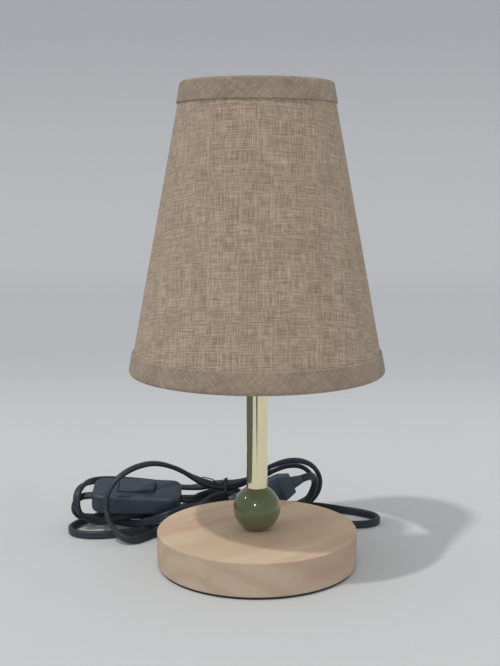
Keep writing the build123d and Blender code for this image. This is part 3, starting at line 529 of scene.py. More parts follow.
def foam_finish(settings):
    """Dark pad of fine closed foam."""
    finish, tree, surface = begin_finish("foot_pad", Roughness=0.85, Specular_IOR_Level=0.3)
    cells = cloud(object_place(tree), scale=1400)
    cover_surface(surface, blend_colours(cells, settings.pad, tone(70, 70, 74)))
    raise_surface(surface, cells, 0.0001)
    return finish


def paint_finish(settings):
    """Gloss paint over turned wood, with a faint ripple."""
    finish, tree, surface = begin_finish(
        "olive_paint", Coat_Weight=1.0, Coat_Roughness=0.035, Coat_IOR=1.5, Specular_IOR_Level=0.35)
    ripple = cloud(object_place(tree), scale=260, detail=1.5)
    depth = cloud(object_place(tree, size=(40, 40, 90)), detail=3)
    paler = blend_colours(ramp(depth, 0.3, 0.7, 0, 0.5), settings.paint, tone(98, 108, 76))
    cover_surface(surface, paler, ramp(ripple, 0.3, 0.7, 0.3, 0.38))
    raise_surface(surface, ripple, 0.00006, 0.5)
    return finish


def gold_finish(settings):
    """Polished pale gold with faint lengthwise polishing."""
    finish, tree, surface = begin_finish("polished_gold", Metallic=1.0)
    marks = cloud(object_place(tree, size=(1500, 1500, 30)))
    bloom = cloud(object_place(tree), scale=60, detail=3)
    worn = blend_colours(ramp(bloom, 0.35, 0.75, 0, 0.35), settings.gold, (0.86, 0.75, 0.5))
    mixed = maths("ADD", maths("MULTIPLY", marks, 0.5), maths("MULTIPLY", bloom, 0.5))
    cover_surface(surface, worn, ramp(mixed, 0.3, 0.7, 0.05, 0.13))
    raise_surface(surface, marks, 0.000004)
    return finish


def metal_finish(name, colour, worn, roughness):
    """Plain plated metal with small differences in shine."""
    finish, tree, surface = begin_finish(name, Metallic=1.0)
    stains = cloud(object_place(tree), scale=180, detail=4, roughness=0.6)
    stained = blend_colours(ramp(stains, 0.4, 0.7), colour, worn)
    cover_surface(surface, stained, ramp(stains, 0.3, 0.7, roughness, roughness + 0.18))
    raise_surface(surface, stains, 0.00002)
    return finish


def moulded_finish(name, colour, paler, roughness, grain=1500.0, relief=0.00004):
    """Moulded plastic with a fine spark-etched grain."""
    finish, tree, surface = begin_finish(name)
    etched = cloud(object_place(tree), scale=grain)
    handled = cloud(object_place(tree), scale=45, detail=3)
    mixed = blend_colours(ramp(handled, 0.35, 0.7, 0, 0.8), colour, paler)
    cover_surface(surface, mixed, ramp(handled, 0.3, 0.7, roughness - 0.06, roughness + 0.08))
    raise_surface(surface, etched, relief)
    return finish


def frosted_finish():
    """Frosted white globe."""
    finish, tree, surface = begin_finish(
        "frosted_globe", Roughness=0.35, Subsurface_Weight=0.3, Subsurface_Scale=0.004)
    frost = cloud(object_place(tree), scale=900)
    cover_surface(surface, blend_colours(frost, tone(244, 243, 238), tone(236, 235, 229)))
    raise_surface(surface, frost, 0.00003)
    return finish


def both_ways(laid, across, lengths, shifts, detail, roughness=0.5):
    """Two random patterns, one drawn out along the upright yarns and one along the level yarns."""
    sizes = ((across, lengths[0], 1), (lengths[1], across, 1))
    places = [stretch(laid, size=size, shift=shift) for size, shift in zip(sizes, shifts)]
    return [cloud(place, detail=detail, roughness=roughness) for place in places]


def weave_finish(name, pale, dark, thread_step, turn=0.0, mottle=1.0, edge_highlight=None):
    """Plain weave of uneven yarns; the last argument is the flat height of a painted highlight along a fold's upper
    edge.
    """
    finish, tree, surface = begin_finish(
        name, Roughness=0.88, Specular_IOR_Level=0.25, Sheen_Weight=0.12, Sheen_Roughness=0.5)
    flat = add(tree, "UVMap", uv_map="flat").outputs["UV"]
    laid = stretch(flat, turn=(0, 0, turn))
    fine = 1 / thread_step
    upright, level = both_ways(laid, fine * 1.2, (130, 110), ((0, 0, 0), (3, 5, 0)), 1.5, 0.7)
    slubs = maths("MAXIMUM", *both_ways(laid, fine * 0.8, (70, 60), ((7, 1, 0), (2, 9, 0)), 1))
    uneven = maths("MAXIMUM", *both_ways(laid, fine * 0.85, (26, 30), ((4, 2, 0), (6, 8, 0)), 0))
    blotch = cloud(stretch(laid, size=(70, 46, 1)), detail=3, roughness=0.6)
    axes = add(tree, "SeparateXYZ", {"Vector": laid})
    waves = [maths("SINE", maths("MULTIPLY", axes.outputs[axis], math.pi * fine)) for axis in ("X", "Y")]
    crossing = maths("MULTIPLY", *waves)
    over = ramp(crossing, -0.35, 0.35)
    crossed = add(tree, "Mix", {0: over, 2: upright, 3: level}, data_type="FLOAT").outputs[0]
    yarn = maths("MULTIPLY", maths("ADD", crossed, maths("ADD", upright, level)), 1 / 3)
    raised = maths("ABSOLUTE", crossing)
    lit = ramp(yarn, 0.37, 0.63, 0.06, 0.57)
    parts = [
        ramp(slubs, 0.6, 0.8, 0.0, 0.17),
        ramp(uneven, 0.45, 0.75, -0.09, 0.13),
        ramp(blotch, 0.3, 0.7, -0.08 * mottle, 0.08 * mottle),
    ]
    # Painted highlight: a pale line along the trim's folded upper edge, where the fold catches the light.
    if edge_highlight is not None:
        height_up = add(tree, "SeparateXYZ", {"Vector": flat}).outputs["Y"]
        off_highlight_edge = maths("ABSOLUTE", maths("SUBTRACT", height_up, edge_highlight))
        parts.append(ramp(off_highlight_edge, 0.25 * mm, 0.65 * mm, 0.35, 0.0))
    for part in parts:
        lit = maths("ADD", lit, part)
    # Painted shade: the colour is darker in the gaps between the yarns.
    gaps = ramp(raised, 0.0, 0.25, -0.16, 0.0)
    lit = add(tree, "Math", {0: lit, 1: gaps}, operation="ADD", use_clamp=True).outputs[0]
    cover_surface(surface, blend_colours(lit, dark, pale))
    height = maths("ADD", maths("ADD", raised, maths("MULTIPLY", slubs, 1.5)), yarn)
    raise_surface(surface, height, 0.00013, 0.8)
    return finish


def film_finish(settings):
    """Stiff pale film inside the shade, with the cloth's faint tint through it."""
    finish, tree, surface = begin_finish("shade_film", Roughness=0.5)
    cast = cloud(object_place(tree), scale=30, detail=3)
    cover_surface(surface, blend_colours(cast, settings.liner, tone(226, 218, 204)))
    raise_surface(surface, cloud(object_place(tree), scale=420), 0.00008)
    return finish


def cord_finish(settings):
    """Satin cord cover with a slight drawn texture along it."""
    finish, tree, surface = begin_finish("cord_cover")
    flat = add(tree, "UVMap", uv_map="flat").outputs["UV"]
    drawn = cloud(stretch(flat, size=(2600, 120, 1)))
    dust = cloud(object_place(tree), scale=90, detail=4, roughness=0.65)
    dusted = blend_colours(ramp(dust, 0.42, 0.75, 0.0, 0.6), settings.cover, tone(52, 62, 73))
    cover_surface(surface, dusted, ramp(drawn, 0.3, 0.7, 0.38, 0.5))
    raise_surface(surface, drawn, 0.00003)
    return finish


# Foot and stem


class NIGHTLIGHT_OT_foot(bpy.types.Operator):
    """Dress the wooden foot, its pad, and the nut and washer under it"""

    bl_idname = "night_light.foot"
    bl_label = "Foot"

    def execute(self, context):
        settings = context.scene.night_light.foot
        dress(wood_finish(settings), "base_disc")
        dress(foam_finish(settings), "base_pad")
        zinc = metal_finish("zinc_plate", (0.52, 0.53, 0.55), (0.4, 0.4, 0.4), 0.28)
        dress(zinc, "base_washer", "base_nut", "threaded_rod", "holder_grub_screw",
              "switch_screw_left", "switch_screw_right")
        return {"FINISHED"}


class NIGHTLIGHT_OT_ball(bpy.types.Operator):
    """Turn the painted ball between the foot and the tube"""

    bl_idname = "night_light.ball"
    bl_label = "Ball"

    def execute(self, context):
        settings = context.scene.night_light.foot
        low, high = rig.box("ball")
        middle = (low.z + high.z) / 2
        lean = math.degrees(math.acos(settings.ball_flat / settings.ball_radius))
        side = arc(0, middle, settings.ball_radius, -lean, lean, 40)
        profile = [(settings.ball_bore, low.z), *side, (settings.ball_bore, high.z)]
        piece = turned("painted_ball", profile, steps=128)
        smooth(piece)
        stand_for(piece, paint_finish(settings), "olive_paint", "lamp", "ball")
        return {"FINISHED"}


class NIGHTLIGHT_OT_tube(bpy.types.Operator):
    """Turn the polished tube"""

    bl_idname = "night_light.tube"
    bl_label = "Tube"

    def execute(self, context):
        settings = context.scene.night_light.stem
        low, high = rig.box("stem_tube")
        edge = 0.2 * mm
        inner = settings.radius - settings.wall
        profile = [
            (inner, low.z),
            *arc(settings.radius - edge, low.z + edge, edge, -90, 0, 4),
            (settings.radius, low.z + 5 * mm),
            (settings.radius, high.z - 5 * mm),
            *arc(settings.radius - edge, high.z - edge, edge, 0, 90, 4),
            (inner, high.z),
        ]
        piece = turned("polished_tube", profile, steps=128)
        smooth(piece)
        stand_for(piece, gold_finish(settings), "gold", "lamp", "stem_tube")
        return {"FINISHED"}


# Shade


def side_length(settings):
    """Length of the shade's side from end to end."""
    run = settings.top_radius - settings.bottom_radius
    rise = settings.top_height - settings.bottom_height
    return math.hypot(run, rise)


def on_side(settings, slant, depth):
    """Radius and height at a distance up the shade's side and a depth behind its face."""
    length = side_length(settings)
    run = (settings.top_radius - settings.bottom_radius) / length
    rise = (settings.top_height - settings.bottom_height) / length
    radius = settings.bottom_radius + slant * run - depth * rise
    height = settings.bottom_height + slant * rise + depth * run
    return radius, height


def cone_map(settings):
    """Flat place of a point on the shade: the side rolled out, with the front's middle upright."""
    sine = (settings.bottom_radius - settings.top_radius) / side_length(settings)
    apex = settings.bottom_radius / sine

    def place(point, turn):
        slant = (point.z - settings.bottom_height) / math.sqrt(1 - sine**2)
        reach = apex - slant
        return reach * math.sin(turn * sine), apex - reach * math.cos(turn * sine)

    return place


def layer_profile(settings, depth, thickness, inset, rows):
    """Closed profile of one conical layer of the shade."""
    length = side_length(settings)
    slants = [inset + (length - 2 * inset) * row / rows for row in range(rows + 1)]
    outside = [on_side(settings, slant, depth) for slant in slants]
    inside = [on_side(settings, slant, depth + thickness) for slant in reversed(slants)]
    return outside + inside


class NIGHTLIGHT_OT_shade_cover(bpy.types.Operator):
    """Roll the linen cover of the shade, with its lapped seam at the back"""

    bl_idname = "night_light.shade_cover"
    bl_label = "Shade cover"

    def execute(self, context):
        settings = context.scene.night_light.shade
        cover_depth = settings.cloth + settings.fold_gap
        profile = layer_profile(settings, cover_depth, settings.cloth, 4.6 * mm, 24)
        cover = turned("linen_cover", profile, steps=settings.steps_round)
        unroll(cover, cone_map(settings))
        lap = 3.5 * mm
        lap_rise = 0.25 * mm
        upright_share = (settings.top_height - settings.bottom_height) / side_length(settings)
        for point in cover.data.vertices:
            turn = math.atan2(point.co.x, point.co.y)
            radius = math.hypot(point.co.x, point.co.y)
            share = clamped(1.4 - abs(turn) * radius / lap)
            slant = (point.co.z - settings.bottom_height) / upright_share
            outer_radius = on_side(settings, slant, cover_depth)[0]
            if share > 0 and radius > outer_radius - settings.cloth / 2:
                raised = 1 + lap_rise * share / radius
                point.co.x *= raised
                point.co.y *= raised
        smooth(cover)
        linen = weave_finish(
            "linen_weave", settings.linen_pale, settings.linen_dark, settings.thread_step, mottle=0.6)
        stand_for(cover, linen, "linen", "shade", "shade_cover")
        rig.sheet(cover, flat=(0.448, 0.209), held="stretched", rests_on=["stiff_liner"], area=0.0637)
        return {"FINISHED"}


class NIGHTLIGHT_OT_shade_liner(bpy.types.Operator):
    """Roll the stiff film inside the shade"""

    bl_idname = "night_light.shade_liner"
    bl_label = "Shade liner"

    def execute(self, context):
        settings = context.scene.night_light.shade
        depth = 2 * (settings.cloth + settings.fold_gap)
        profile = layer_profile(settings, depth, 0.7 * mm, 5.2 * mm, 8)
        liner = turned("stiff_liner", profile, settings.steps_round)
        smooth(liner)
        stand_for(liner, film_finish(settings), "liner", "shade", "shade_liner")
        return {"FINISHED"}


def trim_profile(settings, top):
    """Closed profile of a trim: a flat leg on the cloth and a roll round the wire."""
    inner_roll = settings.wire / 2 + settings.fold_gap
    outer_roll = inner_roll + settings.cloth
    length = side_length(settings)
    side_angle = math.degrees(math.asin((settings.bottom_radius - settings.top_radius) / length))
    turn = 165 if top else -165
    ring = on_side(settings, length - outer_roll if top else outer_roll, outer_roll)
    leg_end = length - settings.trim_width if top else settings.trim_width
    outer = arc(*ring, outer_roll, side_angle, side_angle + turn, 14)
    inner = arc(*ring, inner_roll, side_angle + turn, side_angle, 14)
    leg_start = length - outer_roll if top else outer_roll
    legs = [leg_start + (leg_end - leg_start) * step / 4 for step in range(1, 5)]
    back = [on_side(settings, slant, settings.cloth) for slant in legs]
    front = [on_side(settings, slant, 0) for slant in reversed(legs)]
    edge = 0.22 * mm
    lift = edge if top else -edge
    front[0] = on_side(settings, leg_end + lift, 0)
    front.insert(0, on_side(settings, leg_end, edge))
    return outer + inner + back + front


def trim_map(settings, top):
    """Flat place of a point on a trim, cut on the cross."""
    length = side_length(settings)
    middle_slant = length - settings.trim_width / 2 if top else settings.trim_width / 2
    middle_radius = on_side(settings, middle_slant, 0)[0]
    share_inwards = 0.4

    def place(point, turn):
        radius = math.hypot(point.x, point.y)
        return turn * middle_radius, point.z - share_inwards * (radius - middle_radius)

    return place


class NIGHTLIGHT_OT_shade_trims(bpy.types.Operator):
    """Fold the linen trims over the shade's wires"""

    bl_idname = "night_light.shade_trims"
    bl_label = "Shade trims"

    def execute(self, context):
        settings = context.scene.night_light.shade
        for top, name, node, turn in (
            (False, "bottom_trim_cloth", "bottom_trim", 45),
            (True, "top_trim_cloth", "top_trim", 38),
        ):
            trim = turned(name, trim_profile(settings, top), settings.steps_round)
            place = trim_map(settings, top)
            unroll(trim, place)
            smooth(trim)
            # Flat height of the painted highlight along the bottom trim's folded upper edge; the top trim has none.
            edge_radius, edge_height = on_side(settings, settings.trim_width, 0)
            edge_highlight = None if top else place(Vector((0, -edge_radius, edge_height)), 0)[1]
            weave = weave_finish(
                node + "_weave", settings.trim_pale, settings.trim_dark, settings.thread_step,
                math.radians(turn), 1.6, edge_highlight)
            stand_for(trim, weave, "trim", "shade", node)
            radius = settings.top_radius if top else settings.bottom_radius
            flat_width = 2 * math.pi * radius
            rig.sheet(trim, flat=(flat_width, 0.0172), held="folded", rests_on=["linen_cover"])
        return {"FINISHED"}


class NIGHTLIGHT_OT_carrier(bpy.types.Operator):
    """Dress the shade's wire rings and carrier"""

    bl_idname = "night_light.carrier"
    bl_label = "Carrier"

    def execute(self, context):
        coated = moulded_finish("coated_wire", tone(232, 232, 229), tone(222, 222, 218), 0.35, 700, 0.00003)
        arms = [f"carrier_arm_{number}" for number in (1, 2, 3)]
        dress(coated, "fitter_ring", *arms, "bottom_ring", "top_ring")
        return {"FINISHED"}


# Holder and bulb

switch_inner_nodes = [
    "switch_contact_left", "switch_contact_right", "switch_moving_contact", "switch_through_strip",
]


def rolled_thread(middle, depth, bottom, count):
    """Wavy wall of a rolled screw thread, in millimetres: six points to each turn of the thread."""
    step = 0.85
    return [(middle + depth * math.cos(i * math.pi / 3), bottom + i * step) for i in range(count)]


class NIGHTLIGHT_OT_holder(bpy.types.Operator):
    """Dress the lamp holder and turn its threaded parts"""

    bl_idname = "night_light.holder"
    bl_label = "Lamp holder"

    def execute(self, context):
        white = moulded_finish("holder_white", tone(228, 226, 219), tone(219, 216, 207), 0.42, 1100, 0.00004)
        glazed = moulded_finish("holder_ceramic", tone(232, 229, 222), tone(222, 218, 208), 0.7, 800, 0.00006)
        brass = metal_finish("bare_brass", (0.66, 0.5, 0.24), (0.5, 0.37, 0.18), 0.24)
        sleeve = moulded_finish("wire_sleeve", tone(96, 70, 50), tone(84, 62, 46), 0.4)
        dress(white, "holder_cap")
        dress(glazed, "holder_core")
        dress(brass, "terminal_left", "terminal_right", "side_contact", "centre_contact")
        dress(brass, *switch_inner_nodes)
        dress(sleeve, "wire_left", "wire_right")
        self.add_skirt(white)
        self.add_screw_shell(brass)
        return {"FINISHED"}

    def add_skirt(self, finish):
        """Holder's skirt, with its collar, outer thread and inner lip."""
        skirt_low, collar, skirt_top = 139.24, 148.24, 178.24
        bore, lip_bore, body, root, crest, rim = 17.5, 15.8, 18.8, 19.2, 19.8, 23.0
        lip_low, lip_top = 151.04, 152.54
        pitch = 2.5
        threads = []
        height = collar + 1.4
        while height < skirt_top - 2.2:
            threads.extend([(root, height), (crest, height + 0.7), (crest, height + 1.1), (root, height + 1.8)])
            height += pitch
        profile = [
            (bore, skirt_low), (body, skirt_low), (body, collar - 3), (rim - 0.6, collar - 3),
            (rim, collar - 2.4), (rim, collar - 0.6), (rim - 0.6, collar), (root, collar), *threads,
            (root, skirt_top - 0.4), (body, skirt_top), (bore, skirt_top), (bore, lip_top),
            (lip_bore, lip_top), (lip_bore, lip_low), (bore, lip_low),
        ]
        skirt = turned("threaded_skirt", in_metres(profile), 96)
        smooth(skirt)
        stand_for(skirt, finish, "holder_plastic", "lamp", "holder_shell")

    def add_screw_shell(self, finish):
        """Rolled brass shell that the bulb screws into."""
        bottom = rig.box("screw_shell")[0].z / mm
        opening, floor_edge = 9.0, 13.6
        wall = rolled_thread(13.9, 0.2, bottom + 1.2, 25)
        inner_wall = [(radius - 0.45, z) for radius, z in reversed(wall)]
        profile = [(opening, bottom), (floor_edge, bottom), *wall, *inner_wall, (opening, bottom + 0.6)]
        screw = turned("rolled_screw_shell", in_metres(profile), 72)
        smooth(screw, 60)
        stand_for(screw, finish, "brass", "lamp", "screw_shell")


class NIGHTLIGHT_OT_ring_nut(bpy.types.Operator):
    """Model the ribbed nut that holds the shade's carrier"""

    bl_idname = "night_light.ring_nut"
    bl_label = "Ring nut"

    def execute(self, context):
        low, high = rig.box("shade_ring_nut")
        bore, body, flange, edge = 20.0 * mm, 22.4 * mm, 26.0 * mm, 0.5 * mm
        flange_top = low.z + 2.5 * mm
        profile = [
            (bore, low.z), (flange - edge, low.z), (flange, low.z + edge), (flange, flange_top - edge),
            (flange - edge, flange_top), (body, flange_top), (body, high.z - edge),
            (body - 0.4 * mm, high.z), (bore, high.z),
        ]
        nut = turned("ribbed_nut", profile, 96)
        pick_up(nut)
        bpy.ops.object.mode_set(mode="EDIT")
        bpy.ops.mesh.select_all(action="DESELECT")
        bpy.ops.object.mode_set(mode="OBJECT")
        rib_turn = 3.75
        for face in nut.data.polygons:
            turn = math.degrees(math.atan2(face.center.y, face.center.x)) % 360
            radius = math.hypot(face.center.x, face.center.y)
            tall = body - 0.2 * mm < radius and flange_top + 1 * mm < face.center.z < high.z - 1 * mm
            face.select = tall and int(turn / rib_turn) % 2 == 0
        bpy.ops.object.mode_set(mode="EDIT")
        bpy.ops.mesh.extrude_region_shrink_fatten(TRANSFORM_OT_shrink_fatten={"value": 0.55 * mm})
        bpy.ops.object.mode_set(mode="OBJECT")
        smooth(nut, 30)
        white = bpy.data.materials["holder_white"]
        stand_for(nut, white, "holder_plastic", "lamp", "shade_ring_nut")
        return {"FINISHED"}


class NIGHTLIGHT_OT_bulb(bpy.types.Operator):
    """Dress the bulb and roll the thread of its cap"""

    bl_idname = "night_light.bulb"
    bl_label = "Bulb"

    def execute(self, context):
        low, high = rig.box("bulb_cap")
        bottom, top = low.z / mm, high.z / mm
        opening, floor_edge, neck = 4.8, 11.5, 12.9
        thread = rolled_thread(12.75, 0.35, bottom + 1.6, 22)
        inner = [(radius - 0.5, z) for radius, z in reversed(thread)]
        profile = [
            (opening, bottom), (floor_edge, bottom), *thread, (neck, top), (neck - 0.5, top), *inner,
            (opening, bottom + 0.6),
        ]
        cap = turned("rolled_bulb_cap", in_metres(profile), 72)
        smooth(cap, 60)
        aluminium = metal_finish("bulb_aluminium", (0.72, 0.72, 0.73), (0.6, 0.6, 0.61), 0.25)
        stand_for(cap, aluminium, "bulb_cap", "bulb", "bulb_cap")
        dark = moulded_finish("bulb_insulator", tone(30, 30, 33), tone(38, 38, 41), 0.25)
        dress(dark, "bulb_tip")
        pale = moulded_finish("bulb_housing", tone(238, 238, 236), tone(232, 232, 229), 0.38)
        dress(pale, "bulb_housing")
        dress(frosted_finish(), "bulb_globe")
        return {"FINISHED"}


# Cord: route points in metres, the same as the solids' routes

foot_exit = (-0.0474945, 0.0398528, 0.0070)
foot_exit_lead = (-0.0530100, 0.0444809, 0.0070)
waist = -0.0215
waist_left = -0.0285
waist_right = -0.0145
top_near = (0.0832, 0.0234)
top_far = (0.0890, 0.0234)
mid_near = (0.0803, 0.0182)
mid_core = (0.0861, 0.0182)
mid_far = (0.0919, 0.0182)
low_near = (0.0832, 0.0130)
low_far = (0.0890, 0.0130)

lead_route = [
    foot_exit, foot_exit_lead, (-0.0600, 0.0478, 0.0049), (-0.0665, 0.0460, 0.0030), (-0.0710, 0.0400, 0.0026),
    (-0.0755, 0.0335, 0.0026), (-0.0825, 0.0310, 0.0034), (-0.0895, 0.0335, 0.0070), (-0.0945, 0.0373, 0.0135),
    (-0.0970, 0.0410, 0.0225), (-0.0955, 0.0440, 0.0320), (-0.0890, 0.0485, 0.0398), (-0.0795, 0.0540, 0.0446),
    (-0.0670, 0.0615, 0.0458), (-0.0530, 0.0700, 0.0395), (-0.0400, 0.0775, 0.0290), (waist_left, *top_near),
    (waist, *top_near),
]
first_arch = [
    (-0.0035, 0.0850, 0.0282), (0.0085, 0.0885, 0.0358), (0.0245, 0.0915, 0.0399), (0.0380, 0.0950, 0.0358),
    (0.0445, 0.0980, 0.0245), (0.0415, 0.0985, 0.0115), (0.0295, 0.0970, 0.0046), (0.0150, 0.0920, 0.0036),
    (0.0025, 0.0857, 0.0082),
]
left_low_loop = [
    (-0.0420, 0.0750, 0.0054), (-0.0580, 0.0615, 0.0026), (-0.0780, 0.0500, 0.0026), (-0.0990, 0.0420, 0.0026),
    (-0.1155, 0.0435, 0.0026), (-0.1235, 0.0540, 0.0026), (-0.1198, 0.0665, 0.0026), (-0.1100, 0.0718, 0.0044),
    (-0.0990, 0.0743, 0.0086), (-0.0860, 0.0765, 0.0084), (-0.0700, 0.0800, 0.0050), (-0.0530, 0.0865, 0.0055),
    (-0.0400, 0.0910, 0.0130),
]
right_low_loop = [
    (-0.0070, 0.0950, 0.0110), (0.0040, 0.1025, 0.0036), (0.0200, 0.1090, 0.0026), (0.0400, 0.1060, 0.0026),
    (0.0580, 0.0970, 0.0026), (0.0730, 0.0890, 0.0026), (0.0815, 0.0810, 0.0026), (0.0815, 0.0705, 0.0026),
    (0.0725, 0.0640, 0.0026), (0.0570, 0.0635, 0.0026), (0.0380, 0.0660, 0.0026), (0.0200, 0.0710, 0.0026),
    (0.0050, 0.0815, 0.0026), (-0.0055, 0.0903, 0.0054),
]
left_high_loop = [
    (-0.0390, 0.0855, 0.0075), (-0.0530, 0.0775, 0.0034), (-0.0670, 0.0705, 0.0060), (-0.0800, 0.0658, 0.0088),
    (-0.0925, 0.0660, 0.0076), (-0.1040, 0.0645, 0.0044), (-0.1120, 0.0610, 0.0072), (-0.1175, 0.0585, 0.0130),
    (-0.1186, 0.0578, 0.0206), (-0.1180, 0.0625, 0.0268), (-0.1138, 0.0742, 0.0290), (-0.1040, 0.0842, 0.0276),
    (-0.0860, 0.0866, 0.0262), (-0.0670, 0.0876, 0.0238), (-0.0460, 0.0886, 0.0198),
]
second_arch = [
    (-0.0035, 0.0908, 0.0256), (0.0085, 0.0950, 0.0292), (0.0210, 0.0995, 0.0336), (0.0330, 0.1025, 0.0318),
    (0.0405, 0.1040, 0.0218), (0.0385, 0.1040, 0.0100), (0.0265, 0.1020, 0.0028), (0.0110, 0.0966, 0.0028),
    (-0.0015, 0.0903, 0.0103),
]
hank_route = [
    (waist, *top_near), (waist_right, *top_near), *first_arch,
    (waist_right, *low_near), (waist_left, *low_near), *left_low_loop,
    (waist_left, *mid_far), (waist_right, *mid_far), *right_low_loop,
    (waist_right, *low_far), (waist_left, *low_far), *left_high_loop,
    (waist_left, *top_far), (waist_right, *top_far), *second_arch,
    (waist_right, *mid_core), (waist, *mid_core),
]
to_switch_route = [
    (waist, *mid_core), (waist_left, *mid_core), (-0.0352, 0.0836, 0.0176), (-0.0398, 0.0780, 0.0174),
    (-0.0410, 0.0710, 0.0184), (-0.044328, 0.064908, 0.019932), (-0.050323, 0.064855, 0.020166),
]
to_plug_route = [
    (-0.108277, 0.064345, 0.022434), (-0.114272, 0.064292, 0.022669), (-0.1205, 0.0672, 0.0182),
    (-0.1236, 0.0720, 0.0106), (-0.1195, 0.0765, 0.0039), (-0.1100, 0.0790, 0.0026), (-0.0990, 0.0755, 0.0026),
    (-0.0870, 0.0670, 0.0026), (-0.0770, 0.0570, 0.0054), (-0.0675, 0.0485, 0.0105), (-0.0560, 0.0456, 0.0156),
    (-0.0450, 0.0565, 0.0170), (-0.0356, 0.0706, 0.0146), (waist_left, *mid_near), (waist_right, *mid_near),
    (-0.0045, 0.0806, 0.0134), (0.0065, 0.0812, 0.0084), (0.0180, 0.0840, 0.0048), (0.0280, 0.0870, 0.0068),
    (0.0352, 0.0876, 0.0128), (0.0386, 0.0857, 0.0205), (0.0396, 0.0818, 0.0275), (0.0386, 0.0768, 0.0320),
    (0.0345934, 0.0724470, 0.0335409), (0.0299711, 0.0718441, 0.0317322),
]
inner_route = [
    foot_exit, (-0.0230, 0.0193, 0.0070), (-0.0069, 0.0058, 0.0070), (0, 0, 0.0070), (0, 0, 0.0140),
    (0, 0, 0.0600), (0, 0, 0.12804),
]


def route_curve(name, route, resolution):
    """Curve data with one smooth spline that a route's points control."""
    line = bpy.data.curves.new(name, "CURVE")
    line.dimensions = "3D"
    line.resolution_u = resolution
    spline = line.splines.new("NURBS")
    spline.points.add(len(route) - 1)
    for point, place in zip(spline.points, route):
        point.co = (*place, 1)
    spline.order_u = 3
    spline.use_endpoint_u = True
    return line


def smooth_line(name, route):
    """Points of the smooth curve that a route's points control."""
    line = route_curve(name, route, 10)
    holder = bpy.data.objects.new(name, line)
    mesh = bpy.data.meshes.new_from_object(holder)
    path = [point.co.copy() for point in mesh.vertices]
    bpy.data.meshes.remove(mesh)
    bpy.data.objects.remove(holder)
    bpy.data.curves.remove(line)
    return path


def lengths_along(path):
    """Length of the path up to each of its points."""
    along = [0.0]
    for here, following in zip(path, path[1:]):
        along.append(along[-1] + (following - here).length)
    return along


def run_directions(path):
    """Direction of the path at each point."""
    last = len(path) - 1
    return [(path[min(i + 1, last)] - path[max(i - 1, 0)]).normalized() for i in range(last + 1)]


def wide_directions(path):
    """Way that the flat cord's wide side faces: it bends the easy way, and stands on edge where low or tied."""
    reach, spread, final_spread = 14 * mm, 6 * mm, 5 * mm
    edge_height, edge_ease = 10.5 * mm, 4 * mm
    tie_reach, tie_ease, tie_front = 18 * mm, 7 * mm, 76 * mm
    free_hold, edge_hold = 0.03, 4
    bend_scale = 35
    runs = run_directions(path)
    along = lengths_along(path)
    last = len(path) - 1
    bends = []
    for i in range(len(path)):
        before, after = max(i - 1, 0), min(i + 1, last)
        gap = (path[after] - path[before]).length
        bends.append(runs[before].cross(runs[after]) / max(gap, 1e-6) / bend_scale)
    upright = Vector((0, 0, 1))
    wide = []
    facing = upright
    for i, run in enumerate(runs):
        near = [j for j in range(max(0, i - 24), min(len(path), i + 25)) if abs(along[j] - along[i]) < reach]
        shares = [math.exp(-(((along[j] - along[i]) / spread) ** 2)) for j in near]
        total = sum(shares)
        low = clamped((edge_height - path[i].z) / edge_ease)
        tied = clamped((tie_reach - abs(path[i].x - waist)) / tie_ease) if path[i].y > tie_front else 0.0
        hold = free_hold + edge_hold * max(low, tied)
        for _ in range(5):
            pulled = upright * (hold * facing.dot(upright))
            for j, share in zip(near, shares):
                pulled += bends[j] * (share / total * facing.dot(bends[j]))
            pulled -= run * pulled.dot(run)
            if pulled.length > 1e-9:
                facing = pulled.normalized()
        wide.append(facing.copy())
    settled = []
    for i, run in enumerate(runs):
        mean = Vector()
        for j in range(max(0, i - 16), min(len(path), i + 17)):
            share = math.exp(-(((along[j] - along[i]) / final_spread) ** 2))
            mean += wide[j] * (share if wide[j].dot(wide[i]) > 0 else -share)
        mean -= run * mean.dot(run)
        settled.append(mean.normalized())
    return settled


def cord_section(settings):
    """Outline of the flat cord across it: two round halves with a groove between them."""
    quarter = []
    for angle in (0, 22, 44, 66, 88, 108):
        turn = math.radians(angle)
        wide = settings.lobe_offset + settings.lobe_radius * math.cos(turn)
        quarter.append((wide, settings.lobe_radius * math.sin(turn)))
    quarter.append((0.0, settings.groove))
    half = quarter + [(-wide, thick) for wide, thick in reversed(quarter[:-1])]
    return half + [(wide, -thick) for wide, thick in reversed(half[1:-1])]


def faces_between(first, second, count):
    """Faces between two rings of points, of which first and second are the starting numbers."""
    faces = []
    for i in range(count):
        j = (i + 1) % count
        faces.append((first + i, first + j, second + j, second + i))
    return faces


